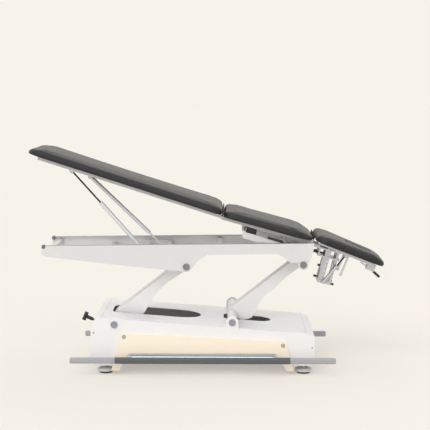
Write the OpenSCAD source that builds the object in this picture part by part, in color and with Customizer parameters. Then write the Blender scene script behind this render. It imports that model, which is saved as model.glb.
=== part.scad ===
// Height-adjustable treatment table in three padded sections.
// +X runs towards the head end, +Y to the far side, +Z up. The origin lies on
// the floor, below the middle of the table's outline.

/* [Table top] */
// Width of the leg and seat pads
pad_w = 500; // [440:10:560]
// Thickness of the foam and cover above each board
pad_t = 32; // [24:1:45]
// Height of the crown of each pad above its edge
pad_crown = 4; // [1:0.5:8]
// How far the rounded edge of a pad reaches in over its top
pad_round = 32; // [20:1:36]
// How far the pad sides draw in between their corners
pad_draw = 2.5; // [0:0.5:5]
// Thickness of the boards under the pads
board_t = 8; // [6:0.5:12]
// Length of the leg pad
leg_pad_l = 1060; // [980:1:1080]
// Length of the seat pad
seat_pad_l = 490; // [480:1:494]
// Length of the head pad
head_pad_l = 398; // [370:1:410]
// Width of the head pad
head_pad_w = 440; // [380:10:500]
// Gap between two pads at a hinge
pad_gap = 8; // [6:1:16]
// Length of the oval face plug
plug_l = 140; // [120:1:150]
// Width of the oval face plug
plug_w = 104; // [90:1:120]
// Height of the face plug above the head pad
plug_rise = 5; // [2:0.5:10]

/* [Section frames] */
// Height of the square section tubes
tube_h = 20; // [16:1:26]
// Width of the section tubes
tube_w = 20; // [16:1:24]
// Distance from the middle to the inner face of the seat side tubes
seat_tube_y = 140; // [120:1:150]
// Distance from the middle to the inner face of the leg side tubes
leg_tube_y = 161; // [161:1:165]
// Length of the leg side tubes
leg_tube_l = 1000; // [860:10:1020]
// Radius of the section hinge pins
hinge_pin_r = 4; // [3:0.5:6]

/* [Lift] */
// Distance between the two pivots of a lift arm
arm_l = 469; // [430:1:500]
// Half of the depth of a lift arm
arm_half = 27; // [24:1:30]
// Width of the wide lift arm
left_arm_w = 176; // [150:2:190]
// Width of the narrow lift arm
right_arm_w = 110; // [90:2:120]
// Wall of the folded lift arms
arm_wall = 5; // [4:0.5:8]
// Radius of the pivot shafts
shaft_r = 12; // [10:0.5:14]
// Radius of the round pivot caps
cap_r = 18; // [16:0.5:22]
// Thickness of the pivot caps
cap_t = 8; // [5:0.5:12]
// Outer radius of the torque tube between the base ears
torque_r = 25; // [22:0.5:26]
// Throw of the lift crank
crank_r = 80; // [76:1:84]

/* [Rails] */
// Length of the rails
rail_l = 1422; // [1400:2:1440]
// Depth of the rails at their thin end
rail_end_h = 57; // [50:1:64]
// Distance between the outer faces of the two rails
rails_w = 432; // [428:1:440]
// Thickness of the rail plates
rail_t = 4; // [3:0.5:6]
// Width of the folded rail top
rail_flange = 26; // [20:1:26]

/* [Base] */
// Width of the base over its side plates
base_w = 622; // [600:2:640]
// Thickness of the base side plates
side_t = 6; // [5:0.5:8]
// Thickness of the folded top cover
cover_t = 3; // [2:0.5:4]
// Wall of the end covers
end_t = 3; // [2.5:0.5:4]
// Width of the long slot in the top cover
long_slot_w = 230; // [210:2:240]
// Thickness of the wooden side panels
wood_t = 12; // [9:1:15]
// Distance between the middles of the two foot bars
bars_w = 740; // [730:2:760]
// Length of the foot bars
bar_l = 1365; // [1300:5:1400]
// Height of the foot bars
bar_h = 32; // [28:1:36]
// Depth of the foot bars
bar_d = 20; // [16:1:24]
// Radius of the round feet
foot_r = 43; // [36:1:45]
// Height of the round feet
foot_h = 28; // [22:1:34]

/* [Struts] */
// Outer radius of the gas spring cylinder
spring_r = 11; // [10.5:0.5:13]
// Bore radius of the gas spring cylinder
spring_bore_r = 9.5; // [9:0.25:10]
// Radius of the gas spring rod
rod_r = 4.5; // [3.5:0.25:5]
// Outer radius of the support stay tube
stay_r = 10.5; // [10:0.5:12]
// Bore radius of the support stay tube
stay_bore_r = 9; // [8.5:0.25:9.5]

/* [Hidden] */

$fn = 48;

// Cuts run past the faces that they open by this much
over = 1;
// Radial play of every pin and shaft in its bore
play = 0.05;
// Play between faces that slide or swing past each other
slip = 0.4;

// Places of the base pivots and the rest angle of the lift arms
left_pivot = [-484, 259];
right_pivot = [126, 271];
arm_angle = 37.9;
arm_step = arm_l * [cos(arm_angle), sin(arm_angle)];
left_top = left_pivot + arm_step;
right_top = right_pivot + arm_step;

// Upper frame
rail_left_x = -869;
rail_top_z = 657;
rail_rise = 15;
rail_right_x = rail_left_x + rail_l;
function rail_top(x) = rail_top_z + rail_rise * (x - rail_left_x) / rail_l;
web_y = rails_w / 2 - rail_t;
lug_r = 27;

// Seat section: its pivot on the rails, its pitch and the hinge of the leg section
seat_pivot = [530, 648];
seat_pitch = 15.5;
seat_under = 35;
leg_hinge = [-484, 25];
leg_pitch = 2.25;
leg_under = 16;
seat_pin_r = 10;

// Head section: the post line, the head hinge and its pitch against the seat
post_x = 114;
head_hinge_z = 22;
head_pitch = 6.7;
head_under = 8;

// Base outline
cover_left = [-550, 295];
cover_right = [508, 214];
function cover_z(x) = cover_left[1]
    + (x - cover_left[0]) * (cover_right[1] - cover_left[1]) / (cover_right[0] - cover_left[0]);
tray_z = 80;
tray_t = 5;
ear_r = 32;
skirt_z = 45;
panel_z = 20;
cover_seam = 0.75;
left_end = [-611, 89];
left_shoulder = [-606, 239];
left_brow = [-582, 293];
right_end = [555, 97];
right_brow = [552, 196];
foot_in = 47;
foot_x = [-532, 496];
foot_places = [for (x = foot_x) [x, base_w / 2 - foot_in]];

// Foot bars
bar_left_x = -708;
bar_clear = 67;
bar_z = bar_clear + bar_h / 2;
bar_arm_x = 290;
bar_pivot_in = 61;
bar_pivot_y = base_w / 2 - bar_pivot_in;
bar_pivot_z = 72;
bar_pivot_r = 4.5;

// Strut ends: foot on the carriage, head on the leg frame at rest
spring_foot = [-342, 625];
spring_head = [-715, 1042];
spring_y = -130;
stay_foot = [-238, 625];
stay_head = [-632, 1003];
stay_y = 0;
eye_r = 11;
eye_w = 16;
lug_t = 4;
strut_pin_r = 5;

module side_on(w)
    rotate([90, 0, 0])
        linear_extrude(height = w, center = true)
            children();

module rod_y(r, w)
    rotate([90, 0, 0])
        cylinder(r = r, h = w, center = true);

module rod_x(r, l)
    rotate([0, 90, 0])
        cylinder(r = r, h = l);

module at_xz(p, y = 0)
    translate([p[0], y, p[1]])
        children();

module both_sides(y)
    for (side = [-1, 1])
        translate([0, side * y, 0])
            children();

module on_seat()
    at_xz(seat_pivot)
        rotate([0, seat_pitch, 0])
            children();

module on_leg()
    on_seat()
        at_xz(leg_hinge)
            rotate([0, leg_pitch, 0])
                children();

module on_head()
    on_seat()
        translate([post_x, 0, head_hinge_z])
            rotate([0, head_pitch, 0])
                children();

// Lays +X of its children along the line from one point to another
module along(from, to)
    at_xz(from)
        rotate([0, -atan2(to[1] - from[1], to[0] - from[0]), 0])
            children();

// Stands a plan outline up between two heights
module upright(z0, z1)
    translate([0, 0, z0])
        linear_extrude(height = z1 - z0)
            children();

module bar(x0, x1, y0, y1, z0, z1)
    translate([x0, y0, z0])
        cube([x1 - x0, y1 - y0, z1 - z0]);

function spread(shares, size, at = [0, 0]) =
    [for (s = shares) [at[0] + s[0] * size[0], at[1] + s[1] * size[1]]];

// Cushions: rings of points that follow one outline from the board to the crown
corner_steps = 6;
side_steps = 3;
edge_shares = [[0.06, 0], [0, 0.1], [0, 0.34], [0.07, 0.6], [0.25, 0.81], [0.55, 0.95], [1, 1]];
rim_share = 0.3;
crown_shares = [0.15, 0.4, 0.65, 0.88];

function arc(c, r, a0, a1) =
    [for (i = [0:corner_steps]) let (a = a0 + (a1 - a0) * i / corner_steps) c + r * [cos(a), sin(a)]];

function side_run(p, q, pull) =
    [for (i = [1:side_steps]) let (t = i / (side_steps + 1)) p + t * (q - p) + 4 * t * (1 - t) * pull];

function last(list) = list[len(list) - 1];

// Outline from x0 to x1 with widths w0 and w1 and corner radii r0 and r1
function outline(x0, x1, w0, w1, r0, r1, draw) =
    let (
        s = atan((w0 - w1) / 2 / (x1 - x0)),
        a = arc([x1 - r1, w1 / 2 - r1], r1, 0, 90 - s),
        b = arc([x0 + r0, w0 / 2 - r0], r0, 90 - s, 180),
        c = arc([x0 + r0, r0 - w0 / 2], r0, 180, 270 + s),
        d = arc([x1 - r1, r1 - w1 / 2], r1, 270 + s, 360)
    )
    concat(a, side_run(last(a), b[0], [0, -draw]), b, side_run(last(b), c[0], [draw, 0]),
        c, side_run(last(c), d[0], [0, draw]), d, side_run(last(d), a[0], [-draw, 0]));

function inset(o, by) =
    outline(o[0] + by, o[1] - by, o[2] - 2 * by, o[3] - 2 * by, o[4] - by, o[5] - by, o[6]);

function at_height(ring, z) = [for (p = ring) [p[0], p[1], z]];

function blend_rings(ring, goal, t) = [for (i = [0:len(ring) - 1]) ring[i] + t * (goal[i] - ring[i])];

// The line along the middle that the crown of a plain cushion runs up to
function spine(ring, o) =
    [for (p = ring) [max(o[0] + o[2] / 2, min(o[1] - o[3] / 2, p[0])), 0]];

function edge_rings(o, t, reach) =
    [for (e = edge_shares) at_height(inset(o, e[0] * reach), e[1] * t)];

// Droop of a cushion: [where it starts, where it ends, share of the height lost there]
function drooped(points, d) =
    [for (p = points) let (u = max(0, min(1, (p[0] - d[0]) / (d[1] - d[0]))))
        [p[0], p[1], p[2] * (1 - d[2] * u * u)]];

function crown_height(t, height) = height * (1 - (1 - t) * (1 - t));

function walls(n, rings, closed) =
    [for (k = [0:rings - (closed ? 1 : 2)]) for (i = [0:n - 1])
        let (up = (k + 1) % rings, j = (i + 1) % n, a = k * n, c = up * n)
            for (f = [[a + i, c + i, c + j], [a + i, c + j, a + j]]) f];

function flatten(lists) = [for (l = lists) for (p = l) p];

module cushion(o, t, crown, reach, droop) {
    top = inset(o, reach);
    goal = spine(top, o);
    rings = concat(edge_rings(o, t, reach),
        [for (u = crown_shares) at_height(blend_rings(top, goal, u), t + crown_height(u, crown))]);
    n = len(top);
    count = len(rings);
    polyhedron(
        points = drooped(flatten(rings), droop),
        faces = concat(walls(n, count, false),
            [[for (i = [0:n - 1]) i]],
            [[for (i = [n - 1:-1:0]) (count - 1) * n + i]]));
}

// The same cushion with an opening o_in through it
module holed_cushion(o, o_in, t, crown, reach, droop) {
    top = inset(o, reach);
    rim = inset(o_in, -rim_share * reach);
    n = len(top);
    rings = concat(edge_rings(o, t, reach),
        [for (u = crown_shares) at_height(blend_rings(top, rim, u), t + crown_height(u, crown))],
        [at_height(rim, t + crown), at_height(inset(o_in, -edge_shares[3][0] * reach), t),
        at_height(inset(o_in, 0), edge_shares[4][1] * t), at_height(inset(o_in, 0), 0)]);
    polyhedron(points = drooped(flatten(rings), droop), faces = walls(n, len(rings), true));
}

// Base: side plates with ears for the right arm shaft
side_in = base_w / 2 - side_t;

// The side plates close the whole side of the base, with its ends and skirts
module side_plates()
    color("gainsboro")
        both_sides(base_w / 2 - side_t / 2)
            side_on(side_t)
                difference() {
                    union() {
                        polygon([left_brow, cover_left, cover_left - [0, cover_t],
                            cover_right - [0, cover_t], cover_right, right_brow, right_end,
                            [right_toe_x, skirt_z], [right_heel_x, skirt_z],
                            [right_heel_x, tray_z], [left_heel_x, tray_z],
                            [left_heel_x, skirt_z], [left_toe_x, skirt_z], left_end,
                            left_shoulder]);
                        translate(right_pivot)
                            circle(r = ear_r);
                        translate([right_pivot[0] - ear_r, tray_z])
                            square([2 * ear_r, right_pivot[1] - tray_z]);
                    }
                    for (p = [left_pivot, right_pivot])
                        translate(p)
                            circle(r = shaft_r + play);
                }

// Slots of the top cover
long_slot_x = [-512, -42];
long_slot_corner = 45;
short_slot_x = [80, 333];
short_slot_y = 25;
short_slot_w = 150;
short_slot_corner = 30;

module slot(ends, w, corner) {
    translate([ends[0], corner - w / 2])
        square([ends[1] - ends[0] - w / 2, w - 2 * corner]);
    translate([ends[0] + corner, -w / 2])
        square([ends[1] - ends[0] - corner - w / 2, w]);
    translate([ends[1] - w / 2, 0])
        circle(r = w / 2);
    for (side = [-1, 1])
        translate([ends[0] + corner, side * (w / 2 - corner)])
            circle(r = corner);
}

cover_x = [cover_left[0] + cover_seam, cover_right[0] - cover_seam];

module top_cover()
    color("whitesmoke")
        difference() {
            side_on(base_w)
                polygon([[cover_x[0], cover_z(cover_x[0])], [cover_x[1], cover_z(cover_x[1])],
                    [cover_x[1], cover_z(cover_x[1]) - cover_t],
                    [cover_x[0], cover_z(cover_x[0]) - cover_t]]);
            upright(0, 2 * cover_left[1]) {
                slot(long_slot_x, long_slot_w, long_slot_corner);
                translate([0, short_slot_y])
                    slot(short_slot_x, short_slot_w, short_slot_corner);
            }
            for (side = [-1, 1])
                translate([right_pivot[0], side * base_w / 2, right_pivot[1]])
                    cube([2 * (ear_r + play), 2 * side_t, 2 * right_pivot[1]], center = true);
        }

// End covers: folded sheets between the side plates, open towards the base, with a
// shelf over the feet and a skirt at each corner
left_toe_x = -585;
left_heel_x = -495;
right_toe_x = 542;
right_heel_x = 441;
skirt_y = 225;
skirt_gap_z = 60;
stem_r = 8;

module end_shell(outer, hollow, pocket, x0, x1)
    difference() {
        side_on(2 * side_in)
            difference() {
                polygon(outer);
                polygon(hollow);
                polygon(pocket);
            }
        bar(x0, x1, -skirt_y, skirt_y, 0, skirt_gap_z);
        for (p = foot_places)
            both_sides(p[1])
                translate([p[0], 0, 0])
                    cylinder(r = stem_r + play, h = 2 * tray_z);
    }

// Lock handle on the bevel of the left end cover
lock_y = -215;
lock_at = (left_brow + left_shoulder) / 2;
lock_tilt = atan2(left_brow[0] - left_shoulder[0], left_brow[1] - left_shoulder[1]);
lock_stem_r = 5;
lock_stem_l = 48;
lock_root_l = 8;
lock_head_r = 10;
lock_head_l = 44;

module on_lock()
    at_xz(lock_at, lock_y)
        rotate([0, lock_tilt, 0])
            children();

module left_end_cover()
    color("whitesmoke")
        difference() {
            end_shell(
                [cover_left, left_brow, left_shoulder, left_end, [left_toe_x, skirt_z],
                    [left_heel_x, skirt_z], [left_heel_x, tray_z], [cover_left[0], tray_z]],
                [cover_left + [over, -end_t], left_brow + [end_t, -end_t],
                    left_shoulder + [end_t, 0], [left_end[0] + end_t, tray_z],
                    [cover_left[0] + over, tray_z]],
                [[left_end[0] + 2 * end_t, tray_z - end_t], [left_toe_x + end_t, skirt_z - over],
                    [left_heel_x - end_t, skirt_z - over], [left_heel_x - end_t, tray_z - end_t]],
                left_end[0] - over, left_heel_x + over);
            on_lock()
                rotate([0, -90, 0])
                    cylinder(r = lock_stem_r + play, h = 2 * lock_root_l, center = true);
        }

module lock_handle()
    color("dimgray")
        on_lock() {
            translate([lock_root_l, 0, 0])
                rotate([0, -90, 0])
                    cylinder(r = lock_stem_r, h = lock_root_l + lock_stem_l);
            translate([-lock_stem_l - lock_head_r / 2, 0, 0])
                cylinder(r = lock_head_r, h = lock_head_l, center = true);
        }

// Mains inlet in the right end cover
inlet_y = 205;
inlet_z = 130;
inlet_w = 50;
inlet_h = 28;
inlet_depth = 24;
inlet_rim = 4;
inlet_x = 556;

module inlet_block(grow, depth)
    translate([inlet_x - depth, inlet_y - inlet_w / 2 - grow, inlet_z - inlet_h / 2 - grow])
        cube([depth, inlet_w + 2 * grow, inlet_h + 2 * grow]);

module right_end_cover()
    color("whitesmoke")
        difference() {
            end_shell(
                [cover_right, right_brow, right_end, [right_toe_x, skirt_z],
                    [right_heel_x, skirt_z], [right_heel_x, tray_z], [cover_right[0], tray_z]],
                [cover_right + [-over, -end_t], right_brow - [end_t, end_t],
                    right_end - [end_t, 0], [right_end[0] - 2 * end_t, tray_z],
                    [cover_right[0] - over, tray_z]],
                [[right_end[0] - 3 * end_t, tray_z - end_t], [right_toe_x - end_t, skirt_z - over],
                    [right_heel_x + end_t, skirt_z - over], [right_heel_x + end_t, tray_z - end_t]],
                right_heel_x - over, right_end[0] + over);
            inlet_block(play, inlet_depth);
        }

module mains_inlet()
    color("black")
        difference() {
            inlet_block(0, inlet_depth);
            translate([inlet_rim, 0, 0])
                inlet_block(-inlet_rim, inlet_depth);
        }

module base_tray()
    color("darkgray")
        bar(cover_left[0] + slip, cover_right[0] - slip, -side_in, side_in, tray_z, tray_z + tray_t);

// Feet
stem_sink = 8;
foot_bevel = 5;
foot_sole_h = 6;
foot_sole_r = foot_r - 2 * foot_bevel;

module at_feet()
    for (p = foot_places)
        both_sides(p[1])
            translate([p[0], 0, 0])
                children();

module foot_stems()
    color("silver")
        at_feet()
            translate([0, 0, foot_h - stem_sink])
                cylinder(r = stem_r, h = tray_z - foot_h + stem_sink);

module foot_pads()
    color("dimgray")
        at_feet()
            rotate_extrude()
                polygon([[0, 0], [foot_sole_r, 0], [foot_sole_r, foot_sole_h],
                    [foot_r, foot_sole_h + foot_bevel], [foot_r, foot_h - foot_bevel],
                    [foot_r - 2 * foot_bevel, foot_h],
                    [stem_r + play, foot_h], [stem_r + play, foot_h - stem_sink],
                    [0, foot_h - stem_sink]]);

// Wooden side panels, each with a wide arch over the floor
panel_left_x = -500;
panel_l = 944;
panel_h = 196;
panel_shares = [[0, 0], [0.055, 1], [0.958, 0.786], [1, 0], [0.959, 0], [0.924, 0.332],
    [0.903, 0.459], [0.096, 0.459], [0.08, 0.332], [0.044, 0]];
panel_screw_shares = [[0.071, 0.903], [0.941, 0.679]];
screw_r = 4;
screw_head_r = 11;
screw_head_t = 2.5;
end_screw_r = 4.5;
end_screw_places = [[-591, 216], [-587, 68], [540, 140], [536, 77]];

module wood_panels()
    color("burlywood")
        both_sides(base_w / 2 + wood_t / 2)
            side_on(wood_t)
                difference() {
                    polygon(spread(panel_shares, [panel_l, panel_h], [panel_left_x, panel_z]));
                    for (p = spread(panel_screw_shares, [panel_l, panel_h], [panel_left_x, panel_z]))
                        translate(p)
                            circle(r = screw_r + play);
                }

module screw_head(y0, r)
    for (side = [-1, 1])
        mirror([0, (1 - side) / 2, 0])
            translate([0, y0, 0])
                rotate([-90, 0, 0])
                    rotate_extrude()
                        polygon([[0, 0], [r, 0], [r, screw_head_t / 2],
                            [r - screw_head_t / 2, screw_head_t], [0, screw_head_t]]);

module panel_screws()
    color("silver") {
        for (p = spread(panel_screw_shares, [panel_l, panel_h], [panel_left_x, panel_z]))
            at_xz(p) {
                screw_head(base_w / 2 + wood_t, screw_head_r);
                both_sides(base_w / 2 + wood_t / 2)
                    rod_y(screw_r, wood_t);
            }
        for (p = end_screw_places)
            at_xz(p)
                screw_head(base_w / 2, end_screw_r);
    }

// Light strips below the arches: a dark channel with slanted ends over the lit strip
light_gaps = [4.376, 4.432];
light_x = [panel_left_x + panel_shares[7][0] * panel_l + light_gaps[0],
    panel_left_x + panel_shares[6][0] * panel_l - light_gaps[1]];
light_drop = 9;
light_h = 11;
light_t = 6;
light_slant = 14;
diffuser_h = 10;
diffuser_t = 4;
arch_z = panel_z + panel_shares[6][1] * panel_h;
light_z = arch_z - light_drop - light_h;

module light_channels()
    color("black")
        both_sides(base_w / 2 + light_t / 2)
            side_on(light_t)
                polygon([[light_x[0], light_z + light_h], [light_x[1], light_z + light_h],
                    [light_x[1] - light_slant, light_z], [light_x[0] + light_slant, light_z]]);

module light_diffusers()
    color("azure")
        both_sides(base_w / 2 + diffuser_t / 2)
            bar(light_x[0] + light_slant, light_x[1] - light_slant, -diffuser_t / 2,
                diffuser_t / 2, light_z - diffuser_h, light_z);

// Lift: shafts with round caps
cap_bevel = 2;

module capped_shaft(y, p)
    at_xz(p) {
        rod_y(shaft_r, 2 * y);
        for (side = [-1, 1])
            mirror([0, (1 - side) / 2, 0])
                translate([0, y, 0])
                    rotate([-90, 0, 0])
                        rotate_extrude()
                            polygon([[0, 0], [cap_r, 0], [cap_r, cap_t - cap_bevel],
                                [cap_r - cap_bevel, cap_t], [shaft_r, cap_t],
                                [shaft_r - cap_bevel, cap_t - cap_bevel],
                                [0, cap_t - cap_bevel]]);
    }

module base_shafts()
    color("silver") {
        capped_shaft(base_w / 2, left_pivot);
        capped_shaft(base_w / 2, right_pivot);
    }

module upper_shafts()
    color("silver") {
        capped_shaft(rails_w / 2, left_top);
        capped_shaft(rails_w / 2, right_top);
    }

// Lift arms: folded channels, open underneath. The shares are the lower edge, along
// the arm and in half depths.
left_arm_shares = [[1, -1], [0.93, -0.93], [0.69, -0.6], [0.51, -1], [0.43, -1.5],
    [0.26, -2.6], [0.12, -2.6], [0, -1]];
right_arm_shares = [[1, -1], [0.94, -0.9], [0.73, -0.8], [0.57, -1.2], [0.42, -1.25],
    [0.29, -1.95], [0.14, -3.1], [0.04, -2.4], [0, -1]];
right_arm_y = 25;
arm_sleeve_r = 19;
open_pivot_gap = 0.3;

module folded_arm(shares, w) {
    difference() {
        side_on(w) {
            polygon(concat([[0, arm_half], [arm_l, arm_half]], spread(shares, [arm_l, arm_half])));
            circle(r = arm_half);
            translate([arm_l, 0])
                circle(r = arm_half);
        }
        side_on(w - 2 * arm_wall)
            translate([-2 * arm_half, -arm_l])
                square([arm_l + 4 * arm_half, arm_l + arm_half - arm_wall]);
    }
}

module left_arm()
    color("lightgray")
        along(left_pivot, left_top)
            difference() {
                union() {
                    folded_arm(left_arm_shares, left_arm_w);
                    rod_y(arm_sleeve_r, left_arm_w);
                    translate([arm_l, 0, 0])
                        rod_y(arm_sleeve_r, left_arm_w);
                }
                rod_y(shaft_r + play, 2 * left_arm_w);
                translate([arm_l, 0, 0])
                    rod_y(shaft_r + play, 2 * left_arm_w);
            }

module right_arm()
    color("lightgray")
        translate([0, right_arm_y, 0])
            along(right_pivot, right_top)
                difference() {
                    union() {
                        folded_arm(right_arm_shares, right_arm_w);
                        translate([arm_l, 0, 0])
                            rod_y(arm_sleeve_r, right_arm_w);
                    }
                    rod_y(torque_r + play, 2 * right_arm_w);
                    translate([arm_l, 0, 0])
                        rod_y(shaft_r + open_pivot_gap, 2 * right_arm_w);
                }

// Torque tube with the crank that the actuator pulls
crank_cheek_t = 10;
crank_eye_w = 14;
crank_pin_r = 8;
crank_cheek_r = 14;
rod_eye_r = 15;

module torque_tube()
    color("silver")
        at_xz(right_pivot)
            difference() {
                union() {
                    rod_y(torque_r, 2 * (side_in - slip));
                    translate([0, right_arm_y, 0]) {
                        both_sides(crank_eye_w / 2 + slip / 2 + crank_cheek_t / 2)
                            side_on(crank_cheek_t) {
                                translate([-crank_cheek_r, -crank_r])
                                    square([2 * crank_cheek_r, crank_r]);
                                translate([0, -crank_r])
                                    circle(r = crank_cheek_r);
                            }
                        translate([0, 0, -crank_r])
                            rod_y(crank_pin_r, crank_eye_w + 2 * crank_cheek_t);
                    }
                }
                rod_y(shaft_r + play, 2 * base_w);
            }

// Actuator: a motor and tube on the tray, and the rod that turns the crank
actuator_rod_r = 10;
actuator_rod_l = 260;
actuator_tube_r = 26;
actuator_bore_r = 18;
actuator_x = [-260, 60];
actuator_bore_x = -200;
crank_swing = 32.5;
actuator_z = right_pivot[1] - crank_r * (1 + cos(crank_swing)) / 2;
post_t = 12;
front_post_x = 40;
motor_l = 40;
motor_block_w = 100;
motor_block_h = 54;
motor_r = 22;
motor_body_l = 110;
motor_y = -30;

module actuator_rod()
    color("silver")
        translate([right_pivot[0], right_arm_y, right_pivot[1] - crank_r])
            difference() {
                union() {
                    rod_y(rod_eye_r, crank_eye_w);
                    rotate([0, 180, 0])
                        rod_x(crank_eye_w / 2 - slip, 2 * rod_eye_r + over);
                    translate([-2 * rod_eye_r, 0, 0])
                        rotate([0, 180, 0])
                            rod_x(actuator_rod_r, actuator_rod_l - 2 * rod_eye_r);
                }
                rod_y(crank_pin_r + play, 2 * crank_eye_w);
            }

module actuator_tube()
    color("gray")
        difference() {
            union() {
                translate([actuator_x[0], right_arm_y, actuator_z])
                    rod_x(actuator_tube_r, actuator_x[1] - actuator_x[0]);
                bar(front_post_x, front_post_x + post_t, right_arm_y - actuator_tube_r,
                    right_arm_y + actuator_tube_r, tray_z + tray_t, actuator_z);
            }
            translate([actuator_bore_x, right_arm_y, actuator_z])
                rod_x(actuator_bore_r, actuator_x[1] - actuator_bore_x + over);
        }

module actuator_motor()
    color("dimgray") {
        translate([actuator_x[0] - motor_l, right_arm_y - actuator_tube_r - motor_block_w / 2,
            actuator_z - motor_block_h / 2])
            cube([motor_l, motor_block_w, motor_block_h]);
        translate([actuator_x[0] - over, motor_y, actuator_z])
            rod_x(motor_r, motor_body_l + over);
        bar(actuator_x[0] - motor_l, actuator_x[0] - motor_l + post_t, motor_y, right_arm_y,
            tray_z + tray_t, actuator_z);
    }

// Control box on the tray
box_x = -430;
box_l = 130;
box_w = 150;
box_in = 31;
box_y = base_w / 2 - box_in - box_w;
box_h = 55;
box_lid_h = 4;
box_lip = 3;

module control_box()
    color("dimgray")
        translate([box_x, box_y, tray_z + tray_t]) {
            translate([box_lip, box_lip, 0])
                cube([box_l - 2 * box_lip, box_w - 2 * box_lip, box_h]);
            translate([0, 0, box_h])
                cube([box_l, box_w, box_lid_h]);
        }

// Foot bars on rocker arms under the tray
bearing_w = 32;
bearing_cheek_t = 6;
bearing_y = 16;
rocker_r = 7;
bar_round = 7;
rocker_eye_w = 19;
sleeve_x = [-477, 424];
sleeve_wall = 1;

// An upright round-sided section along X
module oval_bar(x0, x1, h, d)
    translate([x0, 0, 0])
        rotate([0, 90, 0])
            linear_extrude(height = x1 - x0) {
                square([h - d, d], center = true);
                for (side = [-1, 1])
                    translate([side * (h - d) / 2, 0])
                        circle(r = d / 2);
            }

module bar_bearings()
    color("gray")
        for (x = [-bar_arm_x, bar_arm_x])
            both_sides(bar_pivot_y)
                translate([x, 0, bar_pivot_z]) {
                    for (side = [-1, 1])
                        translate([side * (bearing_w - bearing_cheek_t) / 2, 0, 0]) {
                            rotate([0, 90, 0])
                                cylinder(r = bearing_y / 2, h = bearing_cheek_t, center = true);
                            translate([0, 0, (tray_z - bar_pivot_z) / 2])
                                cube([bearing_cheek_t, bearing_y, tray_z - bar_pivot_z],
                                    center = true);
                        }
                    translate([-bearing_w / 2, 0, 0])
                        rod_x(bar_pivot_r, bearing_w);
                }

module foot_bar(y)
    translate([0, y, bar_z])
        intersection() {
            oval_bar(bar_left_x, bar_left_x + bar_l, bar_h, bar_d);
            side_on(2 * bar_d)
                hull()
                    for (x = [bar_left_x + bar_round, bar_left_x + bar_l - bar_round])
                        for (side = [-1, 1])
                            translate([x, side * (bar_h / 2 - bar_round)])
                                circle(r = bar_round);
        }

// The sleeve carries the two rocker arms, which reach in under the tray
module bar_sleeve(side)
    difference() {
        union() {
            translate([0, side * bars_w / 2, bar_z])
                oval_bar(sleeve_x[0], sleeve_x[1], bar_h + 2 * sleeve_wall, bar_d + 2 * sleeve_wall);
            for (x = [-bar_arm_x, bar_arm_x])
                translate([x, 0, bar_pivot_z]) {
                    translate([0, side * (bar_pivot_y + bars_w / 2) / 2, 0])
                        rod_y(rocker_r - over, bars_w / 2 - bar_pivot_y);
                    translate([-rocker_eye_w / 2, side * bar_pivot_y, 0])
                        rod_x(rocker_r, rocker_eye_w);
                }
        }
        translate([0, side * bars_w / 2, bar_z])
            oval_bar(sleeve_x[0] - over, sleeve_x[1] + over, bar_h, bar_d);
        for (x = [-bar_arm_x, bar_arm_x])
            translate([x - rocker_eye_w, side * bar_pivot_y, bar_pivot_z])
                rod_x(bar_pivot_r + play, 2 * rocker_eye_w);
    }

module foot_bar_near()
    color("lightgray")
        foot_bar(-bars_w / 2);

module foot_bar_far()
    color("lightgray")
        foot_bar(bars_w / 2);

module bar_sleeve_near()
    color("gray")
        bar_sleeve(-1);

module bar_sleeve_far()
    color("gray")
        bar_sleeve(1);

// Rails: folded plates with lugs for the upper shafts. The shares follow the length and
// the drop of the lug below the left end.
rail_drop = 137;
rail_lower_shares = [[0.994, -0.3], [0.98, -0.642], [0.913, -0.642], [0.885, -0.401],
    [0.861, -0.299], [0.61, -0.343], [0.582, -0.504], [0.551, -0.854], [0.525, -0.985],
    [0.47, -0.934], [0.288, -0.745], [0.0155, -0.423]];
boss_r = 18;
boss_t = 8;
strip_x = [-380, -90];
strip_z = 604;
strip_t = 6;
strip_w = 16;
bumper_r = 10;
bumper_at = [-858, 650];
bumper_w = 26;
runner_gap = 0.3;

module rail_outline()
    polygon(concat([[rail_left_x, rail_top(rail_left_x)], [rail_right_x, rail_top(rail_right_x)]],
        spread(rail_lower_shares, [rail_l, rail_drop], [rail_left_x, rail_top_z]),
        [[rail_left_x, rail_top_z - rail_end_h + bumper_r]]));

module rails()
    color("whitesmoke")
        difference() {
            union() {
                both_sides(web_y + rail_t / 2)
                    side_on(rail_t) {
                        rail_outline();
                        for (p = [left_top, right_top])
                            translate(p)
                                circle(r = lug_r);
                    }
                both_sides(rails_w / 2 - rail_flange / 2 - rail_t / 2)
                    side_on(rail_flange - rail_t)
                        polygon([[rail_left_x, rail_top(rail_left_x)],
                            [rail_right_x, rail_top(rail_right_x)],
                            [rail_right_x, rail_top(rail_right_x) - rail_t],
                            [rail_left_x, rail_top(rail_left_x) - rail_t]]);
                at_xz(seat_pivot)
                    both_sides(web_y - boss_t / 2 + over / 2)
                        rod_y(boss_r, boss_t + over);
                both_sides(web_y - strip_w / 2)
                    bar(strip_x[0], strip_x[1], -strip_w / 2, strip_w / 2 + over, strip_z,
                        strip_z + strip_t);
            }
            for (p = [left_top, right_top])
                at_xz(p)
                    rod_y(shaft_r + play, 2 * rails_w);
            at_xz(seat_pivot)
                rod_y(seat_pin_r + play, 2 * web_y);
            at_xz(bumper_at)
                rod_y(bumper_r + play, 2 * rails_w);
        }

module rail_bumpers()
    color("black")
        at_xz(bumper_at)
            both_sides(rails_w / 2 - bumper_w / 2)
                rod_y(bumper_r, bumper_w);

// Cross tubes between the rails
cross_tube = 25;
cross_tube_z = 612;
far_tube_z = 630;
end_tube_x = 470;
end_tube_z = 610;
cross_tube_places = [[-820, far_tube_z], [-520, cross_tube_z], [60, 640], [end_tube_x, end_tube_z]];
tube_wall = 2;

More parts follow.
